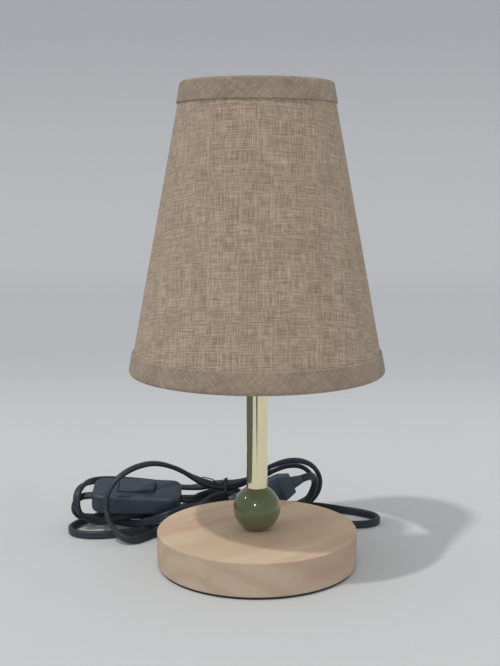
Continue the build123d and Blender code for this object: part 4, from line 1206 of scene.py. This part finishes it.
def draw_along(name, path, wide, outline, sizes=None, hollow=None):
    """Draws an outline along a path; hollow is an inner outline for a sleeve."""
    runs = run_directions(path)
    count = len(outline)
    points = []
    for layer in (outline, hollow) if hollow else (outline,):
        for i, (place, run, facing) in enumerate(zip(path, runs, wide)):
            across = run.cross(facing)
            size = sizes[i] if sizes and layer is outline else 1
            points.extend(place + facing * (a * size) + across * (b * size) for a, b in layer)
    rows = len(path)
    end = (rows - 1) * count
    faces = []
    for start in range(0, end, count):
        faces.extend(faces_between(start, start + count, count))
    if hollow:
        inner = rows * count
        for start in range(inner, inner + end, count):
            faces.extend(faces_between(start + count, start, count))
        faces.extend(faces_between(inner, 0, count))
        faces.extend(faces_between(end, inner + end, count))
    else:
        faces.append(tuple(reversed(range(count))))
        faces.append(tuple(range(end, rows * count)))
    mesh = bpy.data.meshes.new(name)
    mesh.from_pydata([tuple(point) for point in points], [], faces)
    mesh.update()
    along = lengths_along(path)
    column_width = 0.85 * mm
    flat = mesh.uv_layers.new(name="flat")
    for face in mesh.polygons:
        spots = [mesh.loops[corner].vertex_index for corner in face.loop_indices]
        wraps = {spot % count for spot in spots} >= {0, count - 1} and len(spots) == 4
        for corner, spot in zip(face.loop_indices, spots):
            column = spot % count
            column = count if wraps and column == 0 else column
            flat.data[corner].uv = (column * column_width, along[(spot // count) % rows])
    piece = bpy.data.objects.new(name, mesh)
    bpy.context.scene.collection.objects.link(piece)
    tidy_faces(piece)
    smooth(piece, 60)
    return piece


class NIGHTLIGHT_OT_cord(bpy.types.Operator):
    """Lay the flat twin cord from the foot, round its hank, to the switch and the plug"""

    bl_idname = "night_light.cord"
    bl_label = "Cord"

    def execute(self, context):
        settings = context.scene.night_light.cord
        cover = cord_finish(settings)
        section = cord_section(settings)
        width = 2 * (settings.lobe_offset + settings.lobe_radius)
        self.add_inner(section, cover)
        switch = ["switch_base", "switch_cover", "switch_rocker", "switch_screw_left", "switch_screw_right",
                  *switch_inner_nodes]
        plug = ["plug_body", "plug_blade_low", "plug_blade_high", "plug_relief"]
        for name, node, route, length, far_end, lay, on_it in (
            ("flat_cord_lead", "cord_lead", lead_route, 0.1747, "object", "loose", ["cord_grip"]),
            ("flat_cord_hank", "cord_hank", hank_route, 1.0151, "object", "coiled", ["wire_tie"]),
            ("flat_cord_to_switch", "cord_to_switch", to_switch_route, 0.0407, "fitting", "loose", switch),
            ("flat_cord_to_plug", "cord_to_plug", to_plug_route, 0.2536, "plug", "loose", plug),
        ):
            path = smooth_line(name, route)
            wide = wide_directions(path)
            piece = draw_along(name, path, wide, section)
            stand_for(piece, cover, "cord_pvc", "lamp", node)
            if node == "cord_lead":
                self.add_grip(path, wide, section, cover)
            if node == "cord_hank":
                bpy.ops.night_light.tie()
            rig.cord(piece, exit=route[0], length=length, diameter=width, far_end=far_end, stiffness="medium",
                    lay=lay, path=path, with_pieces=on_it)
        return {"FINISHED"}

    def add_inner(self, section, cover):
        """The cord's run through the foot and up the rod."""
        path = smooth_line("flat_cord_inner", inner_route)
        across_exit = Vector((-foot_exit[1], foot_exit[0], 0)).normalized()
        piece = draw_along("flat_cord_inner", path, [across_exit] * len(path), section)
        stand_for(piece, cover, "cord_pvc", "lamp", "cord_inner")

    def add_grip(self, path, wide, section, cover):
        """Grip bush in the foot and its tapered sleeve along the start of the cord."""
        outwards = (Vector(foot_exit) - Vector((0, 0, foot_exit[2]))).normalized()
        start = Vector(foot_exit) - outwards * 8.0 * mm
        narrow, neck, bush = 1.38, 1.42, 2.05
        stations = [
            (0.0, narrow), (5.95, narrow), (6.0, 1.92), (6.3, bush), (7.7, bush), (8.0, 1.92), (8.05, neck),
        ]
        grip_path = [start + outwards * (station * mm) for station, _ in stations]
        sizes = [size for _, size in stations]
        sleeve_length = 22 * mm
        for following, reach in zip(path[1:], lengths_along(path)[1:]):
            if reach > sleeve_length:
                break
            grip_path.append(following)
            sizes.append(neck - 0.27 * reach / sleeve_length)
        facings = [wide[0]] * len(stations) + wide[1:1 + len(grip_path) - len(stations)]
        hollow = [(a * 1.04, b * 1.04) for a, b in section]
        half_wide, half_thick = 2.75 * mm, 2.3 * mm
        turns = [2 * math.pi * i / len(section) for i in range(len(section))]
        outline = [(half_wide * math.cos(turn), half_thick * math.sin(turn)) for turn in turns]
        grip = draw_along("cord_grip", grip_path, facings, outline, sizes, hollow)
        stand_for(grip, cover, "cord_pvc", "lamp", "cord_grommet")


def bent_wire(name, route, thickness):
    """Piece of round wire along a smooth line, as a mesh."""
    put_down()
    line = route_curve(name, route, 8)
    line.bevel_depth = thickness / 2
    line.bevel_resolution = 3
    line.use_fill_caps = True
    piece = bpy.data.objects.new(name, line)
    bpy.context.scene.collection.objects.link(piece)
    pick_up(piece)
    bpy.ops.object.convert(target="MESH")
    return settle(bpy.context.object, name)


class NIGHTLIGHT_OT_tie(bpy.types.Operator):
    """Wind the coated wire tie round the hank's waist and twist its ends"""

    bl_idname = "night_light.tie"
    bl_label = "Wire tie"

    def execute(self, context):
        settings = context.scene.night_light.cord
        near, far = 0.0780, 0.0942
        around = [
            (0.0832, 0.0266), (0.0880, 0.0266), (0.0912, 0.0262), (far, 0.0205), (far, 0.0160),
            (0.0912, 0.0101), (0.0880, 0.0097), (0.0832, 0.0097), (0.0808, 0.0102), (near, 0.0160),
            (near, 0.0205), (0.0808, 0.0262),
        ]
        wire = 1.0 * mm
        lap_step = 0.9 * mm
        winding = []
        for lap in range(2):
            for step, (y, z) in enumerate(around):
                share = lap + step / len(around)
                winding.append((waist - lap_step + lap_step * share, y, z))
        knot = Vector((waist + 0.3 * mm, 0.0824, 0.0262))
        winding.insert(0, knot + Vector((-0.8, 0, 0.8)) * mm)
        winding.append(knot + Vector((0.8, 0.2, 0.8)) * mm)
        band = bent_wire("wire_tie", winding, wire)
        strands = []
        for phase in (0, math.pi):
            route = []
            for step in range(9):
                turn = phase + step * math.pi / 3.2
                radius = 0.62 * mm * (1 if step < 7 else 0.8)
                rise = step * 0.36 * mm
                swing = Vector((radius * math.cos(turn), radius * math.sin(turn), 0.2 * mm))
                route.append(knot + swing + Vector((0.22, -0.15, 1)) * rise)
            strands.append(bent_wire("tie_twist", route, wire))
        tail_route = [
            (-0.0222, 0.0824, 0.0270), (-0.0243, 0.0812, 0.0265), (-0.0264, 0.0804, 0.0253),
            (-0.0277, 0.0799, 0.0259), (-0.0281, 0.0798, 0.0277), (-0.0298, 0.0798, 0.0289),
            (-0.0332, 0.0800, 0.0298), (-0.0368, 0.0801, 0.0306),
        ]
        tail = bent_wire("tie_tail", tail_route, 0.8 * mm)
        pick_up(band)
        for other in (*strands, tail):
            other.select_set(True)
        bpy.ops.object.join()
        smooth(band, 50)
        coated = moulded_finish("tie_coating", settings.tie, tone(52, 56, 66), 0.38, 900, 0.00003)
        stand_for(band, coated, "tie", "lamp", "twist_tie")
        return {"FINISHED"}


class NIGHTLIGHT_OT_switch(bpy.types.Operator):
    """Dress the switch and the plug"""

    bl_idname = "night_light.switch"
    bl_label = "Switch and plug"

    def execute(self, context):
        settings = context.scene.night_light.cord
        nickel = metal_finish("nickel_plate", (0.42, 0.42, 0.43), (0.3, 0.3, 0.31), 0.3)
        shell = moulded_finish("switch_shell", settings.shell, tone(58, 73, 88), 0.42, 1600, 0.00006)
        plug = moulded_finish("plug_moulding", settings.plug, tone(78, 97, 112), 0.42, 1200, 0.00004)
        dress(shell, "switch_base", "switch_cover", "switch_rocker")
        dress(plug, "plug_body", "plug_relief")
        dress(nickel, "plug_blade_low", "plug_blade_high")
        return {"FINISHED"}


# Stage


def floor_finish(settings):
    """Pale cloth-like floor, greyer where it turns up into the backdrop."""
    finish, tree, surface = begin_finish("pale_floor", Roughness=0.9, Specular_IOR_Level=0.2)
    wide_tone = cloud(object_place(tree), scale=3.5, detail=2)
    shades = blend_colours(ramp(wide_tone, 0.3, 0.7, 0, 0.35), settings.floor, tone(203, 205, 209))
    reach = add(tree, "SeparateXYZ", {"Vector": object_place(tree)}).outputs["Y"]
    greyed = blend_colours(ramp(reach, 0.2, 0.8), shades, tone(190, 193, 198))
    tree.links.new(greyed, surface.inputs["Base Color"])
    raise_surface(surface, cloud(object_place(tree), scale=600, detail=2), 0.00015, 0.3)
    return finish


class NIGHTLIGHT_OT_stage(bpy.types.Operator):
    """Set up the pale floor, the lights and the camera"""

    bl_idname = "night_light.stage"
    bl_label = "Stage"

    def execute(self, context):
        settings = context.scene.night_light.stage
        self.add_floor(settings)
        self.add_dark_cards()
        self.add_lights(settings)
        self.add_camera(settings)
        context.scene.view_settings.view_transform = "Standard"
        return {"FINISHED"}

    def add_floor(self, settings):
        """Floor that curves up into a backdrop."""
        put_down()
        width = 8
        front_edge = -3.0
        curve_start = 1.5
        curve_radius = 0.6
        curve_steps = 12
        bpy.ops.mesh.primitive_plane_add(size=1, location=(0, (front_edge + curve_start) / 2, 0))
        floor = bpy.context.object
        floor.scale = (width, curve_start - front_edge, 1)
        settle(floor, "floor")
        bpy.ops.object.mode_set(mode="EDIT")
        bpy.ops.mesh.select_all(action="DESELECT")
        bpy.ops.object.mode_set(mode="OBJECT")
        for point in floor.data.vertices:
            point.select = point.co.y > curve_start / 2
        for edge in floor.data.edges:
            edge.select = all(floor.data.vertices[i].select for i in edge.vertices)
        bpy.ops.object.mode_set(mode="EDIT")
        bpy.ops.mesh.select_mode(type="EDGE")
        height = 0.0
        back = curve_start
        for step in range(1, curve_steps + 1):
            turn = math.pi / 2 * step / curve_steps
            next_back = curve_start + curve_radius * math.sin(turn)
            next_height = curve_radius * (1 - math.cos(turn))
            bpy.ops.mesh.extrude_edges_move(
                TRANSFORM_OT_translate={"value": (0, next_back - back, next_height - height)})
            back, height = next_back, next_height
        bpy.ops.mesh.extrude_edges_move(TRANSFORM_OT_translate={"value": (0, 0.05, 3.0)})
        bpy.ops.object.mode_set(mode="OBJECT")
        smooth(floor, 40)
        floor.data.materials.append(floor_finish(settings))
        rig.stage(floor)

    def add_dark_cards(self):
        """Dark cards that lie beside the lamp and show only in its polished metal."""
        finish = begin_finish("dark_card", Roughness=1.0, Base_Color=(*tone(84, 90, 94), 1))[0]
        left = [(-0.42, -0.48), (-0.146, -0.091), (-0.15, 0.12), (-0.3, 0.5), (-2.6, 0.5), (-2.6, -2.4)]
        front = [(0.0, -0.235), (-0.143, -0.624), (-0.32, -1.4), (0.2, -1.4), (0.096, -0.633)]
        for name, corners in (("left_card", left), ("front_card", front)):
            mesh = bpy.data.meshes.new(name)
            mesh.from_pydata([(x, y, 0.0004) for x, y in corners], [], [tuple(range(len(corners)))])
            card = bpy.data.objects.new(name, mesh)
            bpy.context.scene.collection.objects.link(card)
            card.data.materials.append(finish)
            for way in ("camera", "diffuse", "transmission", "shadow"):
                setattr(card, "visible_" + way, False)
            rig.stage(card)

    def add_lights(self, settings):
        """Main light from high at the left front, two small sparkles on the paint and even light all round."""
        ball_middle = Vector((0, 0, 0.036))
        key_way = Vector((-0.331, -0.294, 0.896)).normalized()
        key = self.add_light("key_light", "SUN", key_way * 2, key_way, settings.key_strength)
        key.data.angle = math.radians(2.4)
        key.data.color = (1.0, 0.975, 0.94)
        for name, place, strength in (
            ("front_sparkle", Vector((-0.2, -1.02, 0.63)), 1.6),
            ("side_sparkle", Vector((-0.894, 0.035, 0.834)), 0.9),
        ):
            sparkle = self.add_light(name, "AREA", place, place - ball_middle, strength)
            sparkle.data.size = 0.07
            sparkle.visible_diffuse = False
        world = bpy.data.worlds.new("even_light")
        bpy.context.scene.world = world
        world.use_nodes = True
        tree = world.node_tree
        tree.nodes.clear()
        ways = add(tree, "LightPath")
        even = add(tree, "Background", {"Color": (0.99, 0.985, 0.975, 1), "Strength": settings.sky_strength})
        shown = add(tree, "Background", {"Color": (0.62, 0.63, 0.66, 1), "Strength": 1.0})
        mirrored = add(tree, "Background", {"Color": (0.36, 0.37, 0.39, 1), "Strength": 1.0})
        seen = even.outputs[0]
        for way, light in (("Is Glossy Ray", mirrored), ("Is Camera Ray", shown)):
            seen = add(tree, "MixShader", {0: ways.outputs[way], 1: seen, 2: light.outputs[0]}).outputs[0]
        add(tree, "OutputWorld", {"Surface": seen})

    def add_light(self, name, kind, place, away, strength):
        """Light that shines back along the direction away."""
        put_down()
        bpy.ops.object.light_add(type=kind, location=place)
        light = bpy.context.object
        light.name = name
        light.rotation_euler = away.to_track_quat("Z", "Y").to_euler()
        light.data.energy = strength
        return light

    def add_camera(self, settings):
        """Camera at the photograph's angle."""
        put_down()
        distance, height, look_down = 0.6323, 0.2331, 8.336
        shift_pixels, long_side = -6.96, 666
        tilt = math.radians(90 - look_down)
        bpy.ops.object.camera_add(location=(0, -distance, height), rotation=(tilt, 0, 0))
        camera = bpy.context.object
        camera.name = "camera"
        camera.data.sensor_width = 36
        camera.data.lens = settings.lens
        camera.data.shift_x = shift_pixels / long_side
        camera.data.clip_start = 0.02
        bpy.context.scene.camera = camera


class NIGHTLIGHT_PT_panel(bpy.types.Panel):
    """Steps that dress the lamp, in order"""

    bl_idname = "NIGHTLIGHT_PT_panel"
    bl_label = "Night light"
    bl_space_type = "VIEW_3D"
    bl_region_type = "UI"
    bl_category = "Night light"

    def draw(self, context):
        for step in steps:
            self.layout.operator(step.bl_idname)


steps = [
    NIGHTLIGHT_OT_foot,
    NIGHTLIGHT_OT_ball,
    NIGHTLIGHT_OT_tube,
    NIGHTLIGHT_OT_shade_liner,
    NIGHTLIGHT_OT_shade_cover,
    NIGHTLIGHT_OT_shade_trims,
    NIGHTLIGHT_OT_carrier,
    NIGHTLIGHT_OT_holder,
    NIGHTLIGHT_OT_ring_nut,
    NIGHTLIGHT_OT_bulb,
    NIGHTLIGHT_OT_cord,
    NIGHTLIGHT_OT_switch,
    NIGHTLIGHT_OT_stage,
]

classes = [
    FootSettings,
    StemSettings,
    ShadeSettings,
    CordSettings,
    StageSettings,
    NightLightSettings,
    *steps,
    NIGHTLIGHT_OT_tie,
    NIGHTLIGHT_PT_panel,
]


def register():
    """Registers the classes and the scene's settings."""
    for entry in classes:
        bpy.utils.register_class(entry)
    bpy.types.Scene.night_light = PointerProperty(type=NightLightSettings)


def unregister():
    """Takes the settings and the classes away again."""
    del bpy.types.Scene.night_light
    for entry in reversed(classes):
        bpy.utils.unregister_class(entry)


def main():
    """Builds every piece in order and writes both sizes."""
    register()
    for step in steps:
        group, name = step.bl_idname.split(".")
        getattr(getattr(bpy.ops, group), name)()
    low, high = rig.bounds()
    sizes = {"cad": [list(cad_low), list(cad_high)], "visual": [list(low), list(high)]}
    with open("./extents.json", "w") as file:
        json.dump(sizes, file)


if __name__ == "__main__":
    main()
